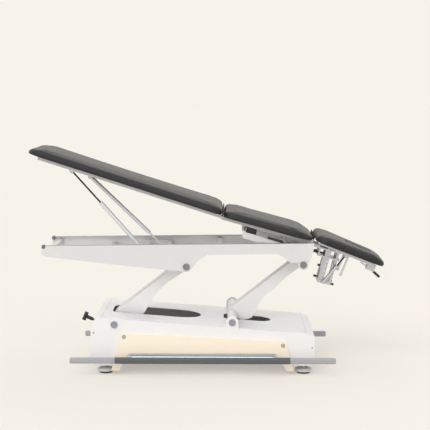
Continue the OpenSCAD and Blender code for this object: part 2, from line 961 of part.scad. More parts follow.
module square_tube(w, side, wall)
    difference() {
        cube([side, w, side], center = true);
        cube([side - 2 * wall, w + 2 * over, side - 2 * wall], center = true);
    }

module frame_tubes()
    color("lightgray")
        for (p = cross_tube_places)
            at_xz(p)
                square_tube(2 * web_y, cross_tube, tube_wall);

// Seat drive: a housing on the frame that turns the seat lever
drive_x = [300, 457.5];
drive_w = 120;
drive_shares = [[0, 0], [1, 0], [1, 0.3], [0.94, 0.53], [0.114, 1]];
drive_h = 76;
drive_z = 600;
lever_pivot = [410, 648];
lever_end = [203, 708];
lever_shaft_r = 12;

module seat_drive()
    color("dimgray")
        difference() {
            side_on(drive_w)
                polygon(spread(drive_shares, [drive_x[1] - drive_x[0], drive_h],
                    [drive_x[0], drive_z]));
            at_xz(lever_pivot)
                rod_y(lever_shaft_r + play, 2 * drive_w);
        }

// Strut carriage: runners on the strips of the rails, with forks for both struts
carriage_x = [-365, -215];
carriage_top_z = 640;
runner_w = 14;
beam_l = 20;
beam_h = 22;
low_beam_z = 621;
low_beam_h = 10;
beam_x = [-326, -222];
fork_r = 12;
fork_gap = 0.4;

// Two fork plates round a strut pin, reaching back to the beam at x
module fork(p, y, x, beam_z)
    difference() {
        for (side = [-1, 1])
            translate([0, y + side * (eye_w / 2 + fork_gap + lug_t / 2), 0])
                side_on(lug_t) {
                    translate(p)
                        circle(r = fork_r);
                    translate([min(p[0], x), p[1] - fork_r])
                        square([abs(x - p[0]), 2 * fork_r]);
                }
        at_xz(p, y)
            rod_y(strut_pin_r + play, 2 * (eye_w + lug_t));
    }

module carriage_beam(x, z0, z1)
    bar(x, x + beam_l, -web_y + runner_gap + runner_w / 2, web_y - runner_gap - runner_w / 2,
        z0, z1);

module strut_carriage()
    color("silver") {
        both_sides(web_y - runner_gap - runner_w / 2)
            bar(carriage_x[0], carriage_x[1], -runner_w / 2, runner_w / 2,
                strip_z + strip_t + runner_gap, carriage_top_z);
        carriage_beam(beam_x[0], low_beam_z - low_beam_h, low_beam_z);
        carriage_beam(beam_x[1], carriage_top_z - beam_h - over, carriage_top_z - over);
        fork(spring_foot, spring_y, beam_x[0] + over, 0);
        fork(stay_foot, stay_y, beam_x[1] + over, 0);
    }

// Seat lever: two plates on the drive shaft, with end pins in the slider blocks
lever_y = [166, 172];
lever_l = norm(lever_end - lever_pivot);
lever_shares = [[1.14, -0.06], [0.817, -0.065], [0.62, -0.055], [0, -0.045], [0, 0.045],
    [0.55, 0.05], [0.72, 0.1], [1.09, 0.09]];
lever_pin_r = 6;
lever_hub_r = 18;
block_y = [142, 160];
block_x = [-342, -288];
block_drop = 40;
block_gap = 0.3;

module seat_lever()
    color("whitesmoke")
        along(lever_pivot, lever_end) {
            both_sides((lever_y[0] + lever_y[1]) / 2)
                side_on(lever_y[1] - lever_y[0]) {
                    polygon(spread(lever_shares, [lever_l, lever_l]));
                    circle(r = lever_hub_r);
                }
            rod_y(lever_shaft_r, 2 * lever_y[0]);
            translate([lever_l, 0, 0])
                both_sides((block_y[0] + lever_y[0]) / 2)
                    rod_y(lever_pin_r, lever_y[0] - block_y[0]);
        }

seat_tube_z = seat_under - 22;

module slider_blocks()
    color("black")
        difference() {
            on_seat()
                both_sides((block_y[0] + block_y[1]) / 2)
                    bar(block_x[0], block_x[1], -(block_y[1] - block_y[0]) / 2,
                        (block_y[1] - block_y[0]) / 2, -block_drop, seat_tube_z - block_gap);
            at_xz(lever_end)
                rod_y(lever_pin_r + play, 2 * lever_y[1]);
        }

// Seat section
seat_tube_x = [-478, 10];
seat_cross_x = [-480, -310, -30];
seat_cross_l = 20;
seat_lug_t = 6;
seat_lug_r = 18;
seat_lug_nose = 8;
seat_knuckle_r = 11;
seat_pad_x = [leg_hinge[0] + pad_gap / 2, leg_hinge[0] + pad_gap / 2 + seat_pad_l];
seat_root_r = 60;
seat_tip_r = 115;
board_inset = 4;
seat_o = [seat_pad_x[0], seat_pad_x[1], pad_w, pad_w, seat_root_r, seat_tip_r, pad_draw];
seat_droop = [seat_pad_x[1] - seat_tip_r, seat_pad_x[1], 0.45];

module tube_pair(x0, x1, y0, z0)
    both_sides(y0 + tube_w / 2)
        bar(x0, x1, -tube_w / 2, tube_w / 2, z0, z0 + seat_under - seat_tube_z);

module seat_frame()
    color("silver")
        on_seat()
            difference() {
                union() {
                    tube_pair(seat_tube_x[0], seat_tube_x[1], seat_tube_y, seat_tube_z);
                    for (x = seat_cross_x)
                        bar(x + over, x + over + seat_cross_l, -seat_tube_y - over,
                            seat_tube_y + over, seat_tube_z, seat_under);
                    both_sides(seat_tube_y + tube_w + seat_lug_t / 2)
                        side_on(seat_lug_t) {
                            circle(r = seat_lug_r);
                            translate([-seat_lug_r, 0])
                                square([seat_lug_r + seat_lug_nose, seat_under]);
                        }
                    both_sides((seat_tube_y + tube_w + web_y - slip) / 2)
                        rod_y(seat_pin_r, web_y - slip - seat_tube_y - tube_w);
                    at_xz(leg_hinge)
                        both_sides(seat_tube_y + tube_w / 2)
                            rod_y(seat_knuckle_r, tube_w);
                }
                at_xz(leg_hinge)
                    rod_y(hinge_pin_r + play, 2 * pad_w);
            }

module board(o, z)
    upright(z, z + board_t)
        polygon(inset(o, board_inset));

module seat_board()
    color("burlywood")
        on_seat()
            board(seat_o, seat_under);

module seat_pad()
    color("darkslateblue")
        on_seat()
            translate([0, 0, seat_under + board_t])
                cushion(seat_o, pad_t, pad_crown, pad_round, seat_droop);

module hinge_pins()
    color("silver")
        on_seat()
            at_xz(leg_hinge)
                both_sides((seat_tube_y + leg_tube_y + tube_w) / 2)
                    rod_y(hinge_pin_r, leg_tube_y + tube_w - seat_tube_y);

// Head guide: two plates below the seat with square holes for the posts
guide_x = [62, 182];
guide_w = 148;
guide_t = 8;
guide_z = [-4, -44];
guide_arm_x = -30;
guide_arm_w = 14;
guide_end_t = 8;
post_w = 14;
post_l = 30;
post_y = 60;
side_post_x = 166;
side_post_l = 12;
side_post_z = 6;
post_bottom_z = -180;
post_bar_h = 15;
knob_r = 9;
knob_l = 24;
knob_stem_r = 5;
knob_z = -24;
peg_r = 6;
peg_l = 16;
index_plate_x = post_x - post_l / 2 - slip;
index_plate_t = 6;
index_plate_z = -102;
index_peg_z = -92;

module post_holes(x, l)
    both_sides(post_y)
        translate([x, 0, guide_z[1]])
            cube([l + 2 * play, post_w + 2 * play, seat_pad_l], center = true);

module head_guide()
    color("silver")
        on_seat()
            difference() {
                union() {
                    for (z = guide_z)
                        bar(guide_x[0], guide_x[1], -guide_w / 2, guide_w / 2, z, z + guide_t);
                    bar(guide_x[0], guide_x[0] + guide_end_t, -guide_w / 2, guide_w / 2,
                        guide_z[1], guide_z[0] + over);
                    both_sides(guide_w / 2 - guide_arm_w / 2)
                        bar(guide_arm_x, guide_x[0] + over, -guide_arm_w / 2, guide_arm_w / 2,
                            guide_z[0], seat_tube_z);
                    bar(index_plate_x - index_plate_t, index_plate_x, -post_y - post_w / 2,
                        post_w / 2 - post_y, index_plate_z, guide_z[1] + over);
                    translate([index_plate_x - index_plate_t - peg_l, -post_y, index_peg_z])
                        rod_x(peg_r, peg_l + over, $fn = 24);
                }
                post_holes(post_x, post_l);
                post_holes(side_post_x, side_post_l);
                translate([guide_x[0] - guide_end_t, -post_y, knob_z])
                    rod_x(knob_stem_r + play, 3 * guide_end_t);
            }

// The clamp screw presses on the near post
module clamp_knob()
    color("black")
        on_seat()
            translate([guide_x[0], -post_y, knob_z])
                rotate([0, -90, 0])
                    rotate_extrude()
                        polygon([[0, guide_x[0] + post_l / 2 + slip - post_x],
                            [knob_stem_r, guide_x[0] + post_l / 2 + slip - post_x],
                            [knob_stem_r, knob_l / 4], [knob_r, knob_l / 3],
                            [knob_r, knob_l], [knob_r * cos(45), knob_l + knob_r / 4],
                            [0, knob_l + knob_r / 4]]);

// Leg section
leg_cross_x = [-990, -831, -740, -410, -50];
leg_cross_l = 20;
leg_knuckle_r = 9;
leg_tip_r = 80;
leg_root_r = 60;
leg_tube_end = -6;
leg_o = [-pad_gap / 2 - leg_pad_l, -pad_gap / 2, pad_w, pad_w, leg_tip_r, leg_root_r, pad_draw];
leg_droop = [leg_o[0] + leg_tip_r, leg_o[0], 0.12];

// A point of the world seen from the leg section
leg_total = seat_pitch + leg_pitch;
leg_hinge_at = seat_pivot + [cos(seat_pitch) * leg_hinge[0] + sin(seat_pitch) * leg_hinge[1],
    cos(seat_pitch) * leg_hinge[1] - sin(seat_pitch) * leg_hinge[0]];
function in_leg(p) = let (d = p - leg_hinge_at)
    [cos(leg_total) * d[0] - sin(leg_total) * d[1], sin(leg_total) * d[0] + cos(leg_total) * d[1]];

// Two hanging fork plates under the leg boards
module hung_fork(p, y, top)
    difference() {
        for (side = [-1, 1])
            translate([0, y + side * (eye_w / 2 + fork_gap + lug_t / 2), 0])
                side_on(lug_t) {
                    translate(p)
                        circle(r = fork_r);
                    translate([p[0] - fork_r, p[1]])
                        square([2 * fork_r, top - p[1]]);
                }
        at_xz(p, y)
            rod_y(strut_pin_r + play, 2 * (eye_w + lug_t));
    }

leg_tube_z = leg_under - tube_h;
spring_lug = in_leg(spring_head);
stay_lug = in_leg(stay_head);

module leg_frame()
    color("silver")
        on_leg() {
            difference() {
                union() {
                    both_sides(leg_tube_y + (tube_w + 4 * slip) / 2 + slip)
                        bar(leg_tube_end - leg_tube_l, leg_tube_end, -tube_w / 2 - 2 * slip,
                            tube_w / 2 + 2 * slip, leg_tube_z, leg_under);
                    both_sides(leg_tube_y + tube_w / 2 + 2 * slip)
                        rod_y(leg_knuckle_r, tube_w + 2 * slip);
                    for (x = leg_cross_x)
                        bar(x, x + leg_cross_l, -leg_tube_y - over, leg_tube_y + over,
                            leg_tube_z, leg_under);
                }
                rod_y(hinge_pin_r + play, 2 * pad_w);
                at_xz(spring_lug, spring_y)
                    rod_y(eye_r + slip, eye_w + 2 * fork_gap);
                at_xz(stay_lug, stay_y)
                    rod_y(eye_r + slip, eye_w + 2 * fork_gap);
            }
            hung_fork(spring_lug, spring_y, leg_tube_z + over);
            hung_fork(stay_lug, stay_y, leg_tube_z + over);
        }

module leg_board()
    color("burlywood")
        on_leg()
            board(leg_o, leg_under);

module leg_pad()
    color("darkslateblue")
        on_leg()
            translate([0, 0, leg_under + board_t])
                cushion(leg_o, pad_t, pad_crown, pad_round, leg_droop);

// Struts that hold up the leg section
strut_pin_l = eye_w + 2 * fork_gap + 2 * lug_t;
spring_l = norm(spring_head - spring_foot);
stay_l = norm(stay_head - stay_foot);
spring_mouth = 336;
spring_rod_l = 340;
stay_tube_l = 436;
stay_rod_l = 210;
rod_cap_l = 12;
strut_neck_l = 18;
bore_floor = 24;

module strut_pin(p, y)
    color("silver")
        at_xz(p, y)
            rod_y(strut_pin_r, strut_pin_l);

// A tube from an eye, open at its far end
module strut_tube(r, bore, l)
    difference() {
        union() {
            rod_x(eye_w / 2, strut_neck_l + over);
            translate([strut_neck_l, 0, 0])
                rod_x(r, l - strut_neck_l);
            rod_y(eye_r, eye_w);
        }
        translate([bore_floor, 0, 0])
            rod_x(bore, l);
        rod_y(strut_pin_r + play, 2 * eye_w);
    }

module strut_rod(r, l)
    difference() {
        union() {
            rod_x(r, l);
            rod_y(eye_r, eye_w);
        }
        rod_y(strut_pin_r + play, 2 * eye_w);
    }

module spring_foot_pin()
    strut_pin(spring_foot, spring_y);

module spring_head_pin()
    strut_pin(spring_head, spring_y);

module stay_foot_pin()
    strut_pin(stay_foot, stay_y);

module stay_head_pin()
    strut_pin(stay_head, stay_y);

module spring_cylinder()
    color("silver")
        translate([0, spring_y, 0])
            along(spring_foot, spring_head)
                strut_tube(spring_r, spring_bore_r, spring_mouth);

module spring_rod()
    color("black")
        translate([0, spring_y, 0])
            along(spring_head, spring_foot)
                strut_rod(rod_r, spring_rod_l);

module stay_rod()
    color("silver")
        translate([0, stay_y, 0])
            along(stay_foot, stay_head)
                strut_rod(rod_r, stay_rod_l);

module stay_tube()
    color("gray")
        translate([0, stay_y, 0])
            along(stay_head, stay_foot)
                strut_tube(stay_r, stay_bore_r, stay_tube_l);

// Head section: posts, frame, board and pad round the face opening
hub_r = 7;
hub_w = 188;
head_shaft_r = 4;
head_bar_y = [96, 110];
head_bar_x = [-60, 250];
head_bar_z = -10;
head_pad_x = -96;
head_root_r = 60;
head_tip_r = 90;
head_tip_w = 320;
head_o = [head_pad_x, head_pad_x + head_pad_l, head_pad_w, head_tip_w, head_root_r, head_tip_r,
    pad_draw];
head_droop = [head_o[1] - head_tip_r, head_o[1], 0.4];
hole_mid_x = 145;
plug_round = 16;
hole_gap = 1;
plug_seat = 11;
tilt_y = -85;
tilt_foot = [128, -172];
tilt_head = [205, -2];
tilt_foot_r = 10;
tilt_pin_r = 4;
tilt_eye_r = 9;
tilt_eye_w = 14;
bar_end_w = 152;
tilt_tube_r = 9;
tilt_bore_r = 7;
tilt_rod_r = 4;
tilt_l = norm(tilt_head - tilt_foot);
tilt_mouth_share = 0.62;
tilt_rod_share = 0.63;
tilt_floor_share = 0.2;

oval_share = 0.9;
function oval(mid, l, w) =
    [mid - l / 2, mid + l / 2, w, w, oval_share * w / 2, oval_share * w / 2, 0];
hole_o = oval(hole_mid_x, plug_l + 2 * hole_gap, plug_w + 2 * hole_gap);

// Each side of the carrier has a wide post with index holes and a narrow side post
index_r = 4;
index_pitch = 26;
index_count = 4;
index_top_z = -64;
index_share = 0.25;
left_peg_z = -168;
right_peg_z = -172;

module head_posts()
    color("silver")
        on_seat() {
            difference() {
                union() {
                    both_sides(post_y) {
                        bar(post_x - post_l / 2, post_x + post_l / 2, -post_w / 2, post_w / 2,
                            post_bottom_z, guide_z[0]);
                        bar(post_x - post_w / 2, post_x + post_w / 2, -post_w / 2, post_w / 2,
                            post_bottom_z, head_hinge_z);
                        bar(side_post_x - side_post_l / 2, side_post_x + side_post_l / 2,
                            -post_w / 2, post_w / 2, post_bottom_z, side_post_z);
                        bar(post_x, side_post_x, -post_w / 2, post_w / 2, post_bottom_z,
                            post_bottom_z + post_bar_h);
                        translate([side_post_x + side_post_l / 2 - over, 0, right_peg_z])
                            rod_x(peg_r, peg_l + over, $fn = 24);
                    }
                    translate([post_x - post_l / 2 - peg_l, post_y, left_peg_z])
                        rod_x(peg_r, peg_l + over, $fn = 24);
                    translate([post_x, 0, head_hinge_z])
                        rod_y(hub_r, hub_w);
                    bar(post_x - post_l / 2, post_x + post_l / 2, -bar_end_w / 2, post_y,
                        post_bottom_z, post_bottom_z + post_bar_h);
                    at_xz(tilt_foot, -bar_end_w / 2 + lug_t / 2)
                        rod_y(tilt_foot_r, lug_t);
                }
                translate([post_x, 0, head_hinge_z])
                    rod_y(head_shaft_r + play, 2 * hub_w);
                for (i = [0:index_count - 1])
                    translate([post_x + index_share * post_l, 0, index_top_z - i * index_pitch])
                        rod_y(index_r, 2 * bar_end_w, $fn = 24);
            }
            at_xz(tilt_foot, (tilt_y - tilt_eye_w / 2 - bar_end_w / 2) / 2)
                rod_y(tilt_pin_r, tilt_eye_w / 2 - tilt_y - bar_end_w / 2);
        }

// A point of the seat section seen from the head section
function in_head(p) = let (d = p - [post_x, head_hinge_z])
    [cos(head_pitch) * d[0] - sin(head_pitch) * d[1], sin(head_pitch) * d[0] + cos(head_pitch) * d[1]];
tilt_lug = in_head(tilt_head);

head_bar_w = head_bar_y[1] - head_bar_y[0];
end_cross_x = [-30, 236];
end_cross_l = 14;
arm_x = [100, 111];
arm_drop = 115;
arm_foot_r = 9;
arm_t = 6;
lever_box_x = [228, 274];
lever_box_w = 40;
lever_box_z = [-46, -12];
lever_box_wall = 6;
release_pivot = [250, -37];
release_pin_r = 4;

module head_frame()
    color("silver")
        on_head() {
            difference() {
                union() {
                    both_sides((head_bar_y[0] + head_bar_y[1]) / 2)
                        bar(head_bar_x[0], head_bar_x[1], -head_bar_w / 2, head_bar_w / 2,
                            head_bar_z, head_under - slip);
                    for (x = end_cross_x)
                        bar(x, x + end_cross_l, -head_bar_y[0] - over, head_bar_y[0] + over,
                            head_bar_z, head_under - slip);
                    both_sides((head_bar_y[0] + head_bar_y[1]) / 2)
                        bar(arm_x[0], arm_x[1], -arm_t / 2, arm_t / 2, -arm_drop, head_bar_z + over);
                    both_sides((head_bar_y[0] + head_bar_y[1]) / 2)
                        translate([(arm_x[0] + arm_x[1]) / 2, 0, -arm_drop])
                            rod_y(arm_foot_r, arm_t);
                    at_xz(tilt_lug, -(head_bar_y[0] + head_bar_y[1]) / 2)
                        rod_y(tilt_foot_r, head_bar_w);
                    difference() {
                        bar(lever_box_x[0], lever_box_x[1], -lever_box_w / 2, lever_box_w / 2,
                            lever_box_z[0], head_bar_z + over);
                        bar(lever_box_x[0] - over, lever_box_x[1] + over,
                            lever_box_wall - lever_box_w / 2, lever_box_w / 2 - lever_box_wall,
                            lever_box_z[0] - over, lever_box_z[1]);
                    }
                }
                at_xz(release_pivot)
                    rod_y(release_pin_r + play, 2 * lever_box_w);
            }
            rod_y(head_shaft_r, head_bar_y[0] + head_bar_y[1]);
            at_xz(tilt_lug, (tilt_y + tilt_eye_w / 2 - head_bar_y[0]) / 2)
                rod_y(tilt_pin_r, head_bar_y[0] + tilt_y + tilt_eye_w / 2);
        }

module head_board()
    color("burlywood")
        on_head()
            upright(head_under, head_under + board_t)
                difference() {
                    polygon(inset(head_o, board_inset));
                    polygon(inset(hole_o, plug_seat));
                }

module head_pad()
    color("darkslateblue")
        on_head()
            translate([0, 0, head_under + board_t])
                holed_cushion(head_o, hole_o, pad_t, pad_crown, pad_round, head_droop);

module face_plug()
    color("slateblue")
        on_head()
            translate([0, 0, head_under + board_t + open_pivot_gap])
                cushion(oval(hole_mid_x, plug_l, plug_w), pad_t + pad_crown + plug_rise / 2,
                    plug_rise / 2, plug_round, [hole_mid_x, hole_mid_x + plug_l, 0]);

module tilt_stay_tube()
    color("silver")
        translate([0, tilt_y, 0])
            on_seat()
                along(tilt_foot, tilt_head)
                    difference() {
                        union() {
                            rod_x(tilt_tube_r, tilt_mouth_share * tilt_l);
                            rod_y(tilt_eye_r, tilt_eye_w);
                        }
                        translate([tilt_floor_share * tilt_l, 0, 0])
                            rod_x(tilt_bore_r, tilt_l);
                        rod_y(tilt_pin_r + play, 2 * tilt_eye_w);
                    }

module tilt_stay_rod()
    color("black")
        translate([0, tilt_y, 0])
            on_seat()
                along(tilt_head, tilt_foot)
                    difference() {
                        union() {
                            rod_x(tilt_rod_r, tilt_rod_share * tilt_l);
                            rod_y(tilt_eye_r, tilt_eye_w);
                        }
                        rod_y(tilt_pin_r + play, 2 * tilt_eye_w);
                    }

// Release lever in its box under the head board
release_ends = [[189, -22], [262, -40]];
release_h = 10;
release_w = 8;
grip_end = [316, -60];
grip_r = 7;

module release_lever()
    color("silver")
        on_head()
            union() {
                along(release_ends[0], release_ends[1])
                    bar(0, norm(release_ends[1] - release_ends[0]) + release_h, -release_w / 2,
                        release_w / 2, -release_h / 2, release_h / 2);
                at_xz(release_pivot)
                    rod_y(release_pin_r, lever_box_w);
            }

module lever_grip()
    color("black")
        on_head()
            along(release_ends[1], grip_end)
                difference() {
                    translate([release_h + over, 0, 0])
                        rod_x(grip_r, norm(grip_end - release_ends[1]) - release_h - over);
                }

side_plates();
top_cover();
left_end_cover();
right_end_cover();
base_tray();
foot_stems();
foot_pads();
wood_panels();
panel_screws();
light_channels();
light_diffusers();
base_shafts();
bar_bearings();
control_box();
mains_inlet();
actuator_tube();
actuator_motor();
lock_handle();
foot_bar_near();
bar_sleeve_near();
foot_bar_far();
bar_sleeve_far();
left_arm();
right_arm();
torque_tube();
actuator_rod();
rails();
frame_tubes();
upper_shafts();
rail_bumpers();
seat_drive();
strut_carriage();
seat_lever();
slider_blocks();
seat_frame();
seat_board();
seat_pad();
hinge_pins();
head_guide();
clamp_knob();
leg_frame();
leg_board();
leg_pad();
spring_foot_pin();
spring_cylinder();
spring_head_pin();
spring_rod();
stay_foot_pin();
stay_rod();
stay_head_pin();
stay_tube();
head_posts();
head_frame();
head_board();
head_pad();
face_plug();
tilt_stay_tube();
tilt_stay_rod();
release_lever();
lever_grip();
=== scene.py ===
import math

import bpy
import numpy as np
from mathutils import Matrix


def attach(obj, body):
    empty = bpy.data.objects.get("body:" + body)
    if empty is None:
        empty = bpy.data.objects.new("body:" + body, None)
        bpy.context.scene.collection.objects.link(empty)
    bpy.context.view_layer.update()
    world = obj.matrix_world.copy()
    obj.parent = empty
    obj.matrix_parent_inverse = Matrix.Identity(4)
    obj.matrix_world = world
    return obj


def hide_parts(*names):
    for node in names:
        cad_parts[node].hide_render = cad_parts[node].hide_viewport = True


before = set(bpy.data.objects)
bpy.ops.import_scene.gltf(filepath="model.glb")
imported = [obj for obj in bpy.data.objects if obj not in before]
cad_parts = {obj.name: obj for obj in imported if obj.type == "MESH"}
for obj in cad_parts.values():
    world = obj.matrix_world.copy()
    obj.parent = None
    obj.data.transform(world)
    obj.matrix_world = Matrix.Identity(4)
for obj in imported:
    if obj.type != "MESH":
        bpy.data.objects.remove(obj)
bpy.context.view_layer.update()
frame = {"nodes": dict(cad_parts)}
nodes = frame["nodes"]


# Section frames, as in the CAD, in metres and degrees: a turn about +Y that lowers +X, then a
# shift. The leg and head frames are joined to the seat's at their hinges. The plane z = 0 of
# the last frame is where the painted shade along the rails' upper edge begins.

def tip(angle):
    """Turn about +Y by an angle in degrees, as a 3 by 3 array."""
    c = math.cos(math.radians(angle))
    s = math.sin(math.radians(angle))
    return np.array([[c, 0, s], [0, 1, 0], [-s, 0, c]])


class Section:
    """A padded section's own frame: point p lies at origin + turn * p."""

    def __init__(self, origin, angle):
        self.origin = np.array(origin, float)
        self.turn = tip(angle)
        self.angle = angle

    def world(self, points):
        """The section's own points, in the object's frame."""
        return np.asarray(points, float) @ self.turn.T + self.origin

    def joined(self, local, angle):
        """A section hinged to this one at a local point and tipped by a further angle."""
        return Section(self.world(local), self.angle + angle)


ground = Section((0, 0, 0), 0)
seat = Section((0.530, 0, 0.648), 15.5)
leg = seat.joined((-0.484, 0, 0.025), 2.25)
head = seat.joined((0.114, 0, 0.022), 6.7)
rail_shade_line = Section((-0.869, 0, 0.6548), -0.604)


# Materials: values and links are written as expressions on wrapped sockets.

class Wire:
    """A node's output socket; arithmetic on a number's socket adds Math nodes to its tree."""

    def __init__(self, nodes, socket):
        self.nodes = nodes
        self.socket = socket

    def _math(self, kind, a, b):
        return self.nodes.node("ShaderNodeMath", {"operation": kind}, {0: a, 1: b})

    def __add__(self, other):
        return self._math("ADD", self, other)

    def __radd__(self, other):
        return self._math("ADD", other, self)

    def __sub__(self, other):
        return self._math("SUBTRACT", self, other)

    def __rsub__(self, other):
        return self._math("SUBTRACT", other, self)

    def __mul__(self, other):
        return self._math("MULTIPLY", self, other)

    def __rmul__(self, other):
        return self._math("MULTIPLY", other, self)

    def __gt__(self, other):
        return self._math("GREATER_THAN", self, other)

    def __lt__(self, other):
        return self._math("LESS_THAN", self, other)


class Nodes:
    """An emptied node tree with its output, and the one method that makes its nodes."""

    def __init__(self, tree, out_kind):
        self.tree = tree
        self.tree.nodes.clear()
        self.out = self.tree.nodes.new(out_kind)

    def node(self, kind, settings=None, sockets=None, out=0):
        """A new node: its settings first, then the values or links of its sockets."""
        made = self.tree.nodes.new(kind)
        for key, value in (settings or {}).items():
            if key == "stops":
                for stop, (at, colour) in zip(made.color_ramp.elements, value):
                    stop.position = at
                    stop.color = (*colour, 1)
            else:
                setattr(made, key, value)
        for key, value in (sockets or {}).items():
            self.put(made.inputs[key], value)
        return Wire(self, made.outputs[out])

    def put(self, socket, value):
        """Links a wire to a socket, or sets its value; colours get their alpha of 1."""
        if isinstance(value, Wire):
            self.tree.links.new(value.socket, socket)
        elif hasattr(socket.default_value, "__len__"):
            value = tuple(value)
            socket.default_value = value + (1,) * (len(socket.default_value) - len(value))
        else:
            socket.default_value = value

    def mixed(self, share, a, b):
        """Shader a where the share is 0, and b where it is 1."""
        return self.node("ShaderNodeMixShader", sockets={0: share, 1: a, 2: b})

    def seen(self):
        """1 for rays from the camera and rays passed on by gloss or glass, else 0."""
        flags = [self.node("ShaderNodeLightPath", out=name)
                 for name in ("Is Camera Ray", "Is Glossy Ray", "Is Transmission Ray")]
        either = self.node("ShaderNodeMath", {"operation": "MAXIMUM"}, {0: flags[0], 1: flags[1]})
        return self.node("ShaderNodeMath", {"operation": "MAXIMUM"}, {0: either, 1: flags[2]})


class Finish(Nodes):
    """A material with a Principled shader. Scales are per metre, and lengths in metres."""

    def __init__(self, name):
        self.mat = bpy.data.materials.new(name)
        self.mat.use_nodes = True
        super().__init__(self.mat.node_tree, "ShaderNodeOutputMaterial")
        self.shader = self.node("ShaderNodeBsdfPrincipled")
        self.put(self.out.inputs[0], self.shader)
        self.place = self.node("ShaderNodeTexCoord", out="Object")

    def set(self, **values):
        """Values or links of the shader's sockets, with _ for a blank in their names."""
        for key, value in values.items():
            self.put(self.shader.socket.node.inputs[key.replace("_", " ")], value)

    def noise(self, scale, detail=3.0, rough=0.5, stretch=None):
        """Cloudy noise from 0 to 1, its scale multiplied along each axis by the stretch."""
        place = self.place
        if stretch:
            place = self.node("ShaderNodeMapping", sockets={"Vector": place, "Scale": stretch})
        return self.node("ShaderNodeTexNoise", sockets={
            "Vector": place, "Scale": scale, "Detail": detail, "Roughness": rough})

    def blend(self, share, a, b):
        """Colour a where the share is 0, and b where it is 1."""
        return self.node("ShaderNodeMix", {"data_type": "RGBA"}, {0: share, 6: a, 7: b}, out=2)

    def rounded(self, radius):
        """The normal of the surface with its edges rounded by a radius."""
        return self.node("ShaderNodeBevel", {"samples": 4}, {"Radius": radius})

    def along(self, section, axis):
        """The place's coordinate along one axis of a section's own frame, in metres."""
        way = section.turn[:, axis]
        dot = self.node("ShaderNodeVectorMath", {"operation": "DOT_PRODUCT"},
                        {0: self.place, 1: tuple(way)}, out="Value")
        return dot - float(way @ section.origin)

    def edges(self, radius, gain):
        """1 on edges sharper than the radius, 0 on flats: the turn of the rounded normal."""
        normal = self.node("ShaderNodeNewGeometry", out="Normal")
        dot = self.node("ShaderNodeVectorMath", {"operation": "DOT_PRODUCT"},
                        {0: self.rounded(radius), 1: normal}, out="Value")
        return self.node("ShaderNodeMath", {"operation": "MULTIPLY", "use_clamp": True},
                         {0: 1 - dot, 1: gain})

    def bump(self, height, distance, strength, normal=None):
        """The normal, or another one, tilted by the slope of a height times a distance."""
        sockets = {"Height": height, "Distance": distance, "Strength": strength}
        if normal is not None:
            sockets["Normal"] = normal
        return self.node("ShaderNodeBump", sockets=sockets)


def srgb(*rgb):
    """Display values from 0 to 255 as linear light."""
    return tuple(((v / 255 + 0.055) / 1.055) ** 2.4 if v > 10 else v / 255 / 12.92 for v in rgb)


def shade(rgb, gain):
    """A colour times a gain, at most white."""
    return tuple(min(1.0, c * gain) for c in rgb)


# Stretch of a metal's streaks: long ones along X, or the same each way
LONG_BRUSH = (6.0, 220.0, 220.0)
EVEN_BRUSH = (60.0, 60.0, 60.0)


def powder_coat(name, rgb, rough, edge=1.06, shade_line=None):
    """Powder coat: fine orange peel, faint cloudiness, edges where the coat thins. Above the
    plane z = 0 of a shade line section the colour is darkened grey, a painted shade of a shaded
    top edge."""
    m = Finish(name)
    cloud = m.noise(scale=6.0, detail=4.0)
    worn = m.edges(radius=0.0012, gain=2.5)
    colour = m.blend(cloud, shade(rgb, 0.975), shade(rgb, 1.02))
    colour = m.blend(worn, colour, shade(rgb, edge))
    # Painted shade: above the plane z = 0 of the shade line section the colour is darkened to
    # grey, the rails' shaded upper edge
    if shade_line:
        colour = m.blend(m.along(shade_line, 2) > 0.0, colour, shade(rgb, 0.55))
    peel = m.noise(scale=900.0, detail=2.0)
    m.set(Base_Color=colour,
          Roughness=rough - 0.05 + 0.1 * m.noise(scale=25.0),
          Normal=m.bump(peel, distance=0.00006, strength=0.6, normal=m.rounded(0.0009)))
    return m.mat


def brushed_metal(name, rgb, rough, along=LONG_BRUSH, metal=1.0):
    """Brushed metal: long fine streaks in height and gloss; an anodised one is less metallic."""
    m = Finish(name)
    streak = m.noise(scale=4.0, detail=5.0, rough=0.65, stretch=along)
    m.set(Base_Color=m.blend(streak, shade(rgb, 0.86), shade(rgb, 1.05)),
          Metallic=metal,
          Roughness=rough + 0.14 * streak,
          Normal=m.bump(streak, distance=0.00003, strength=0.5, normal=m.rounded(0.0006)))
    return m.mat


def moulded_plastic(name, rgb, rough):
    """Moulded plastic: a fine pebbled grain and slightly polished edges."""
    m = Finish(name)
    pebble = m.node("ShaderNodeTexVoronoi", sockets={"Vector": m.place, "Scale": 1400.0})
    rubbed = m.edges(radius=0.001, gain=2.0)
    colour = m.blend(m.noise(scale=30.0), shade(rgb, 0.9), shade(rgb, 1.1))
    m.set(Base_Color=m.blend(rubbed, colour, shade(rgb, 1.5)),
          Roughness=rough - 0.12 * rubbed + 0.08 * m.noise(scale=60.0),
          Normal=m.bump(pebble, distance=0.00008, strength=0.5, normal=m.rounded(0.0008)))
    return m.mat


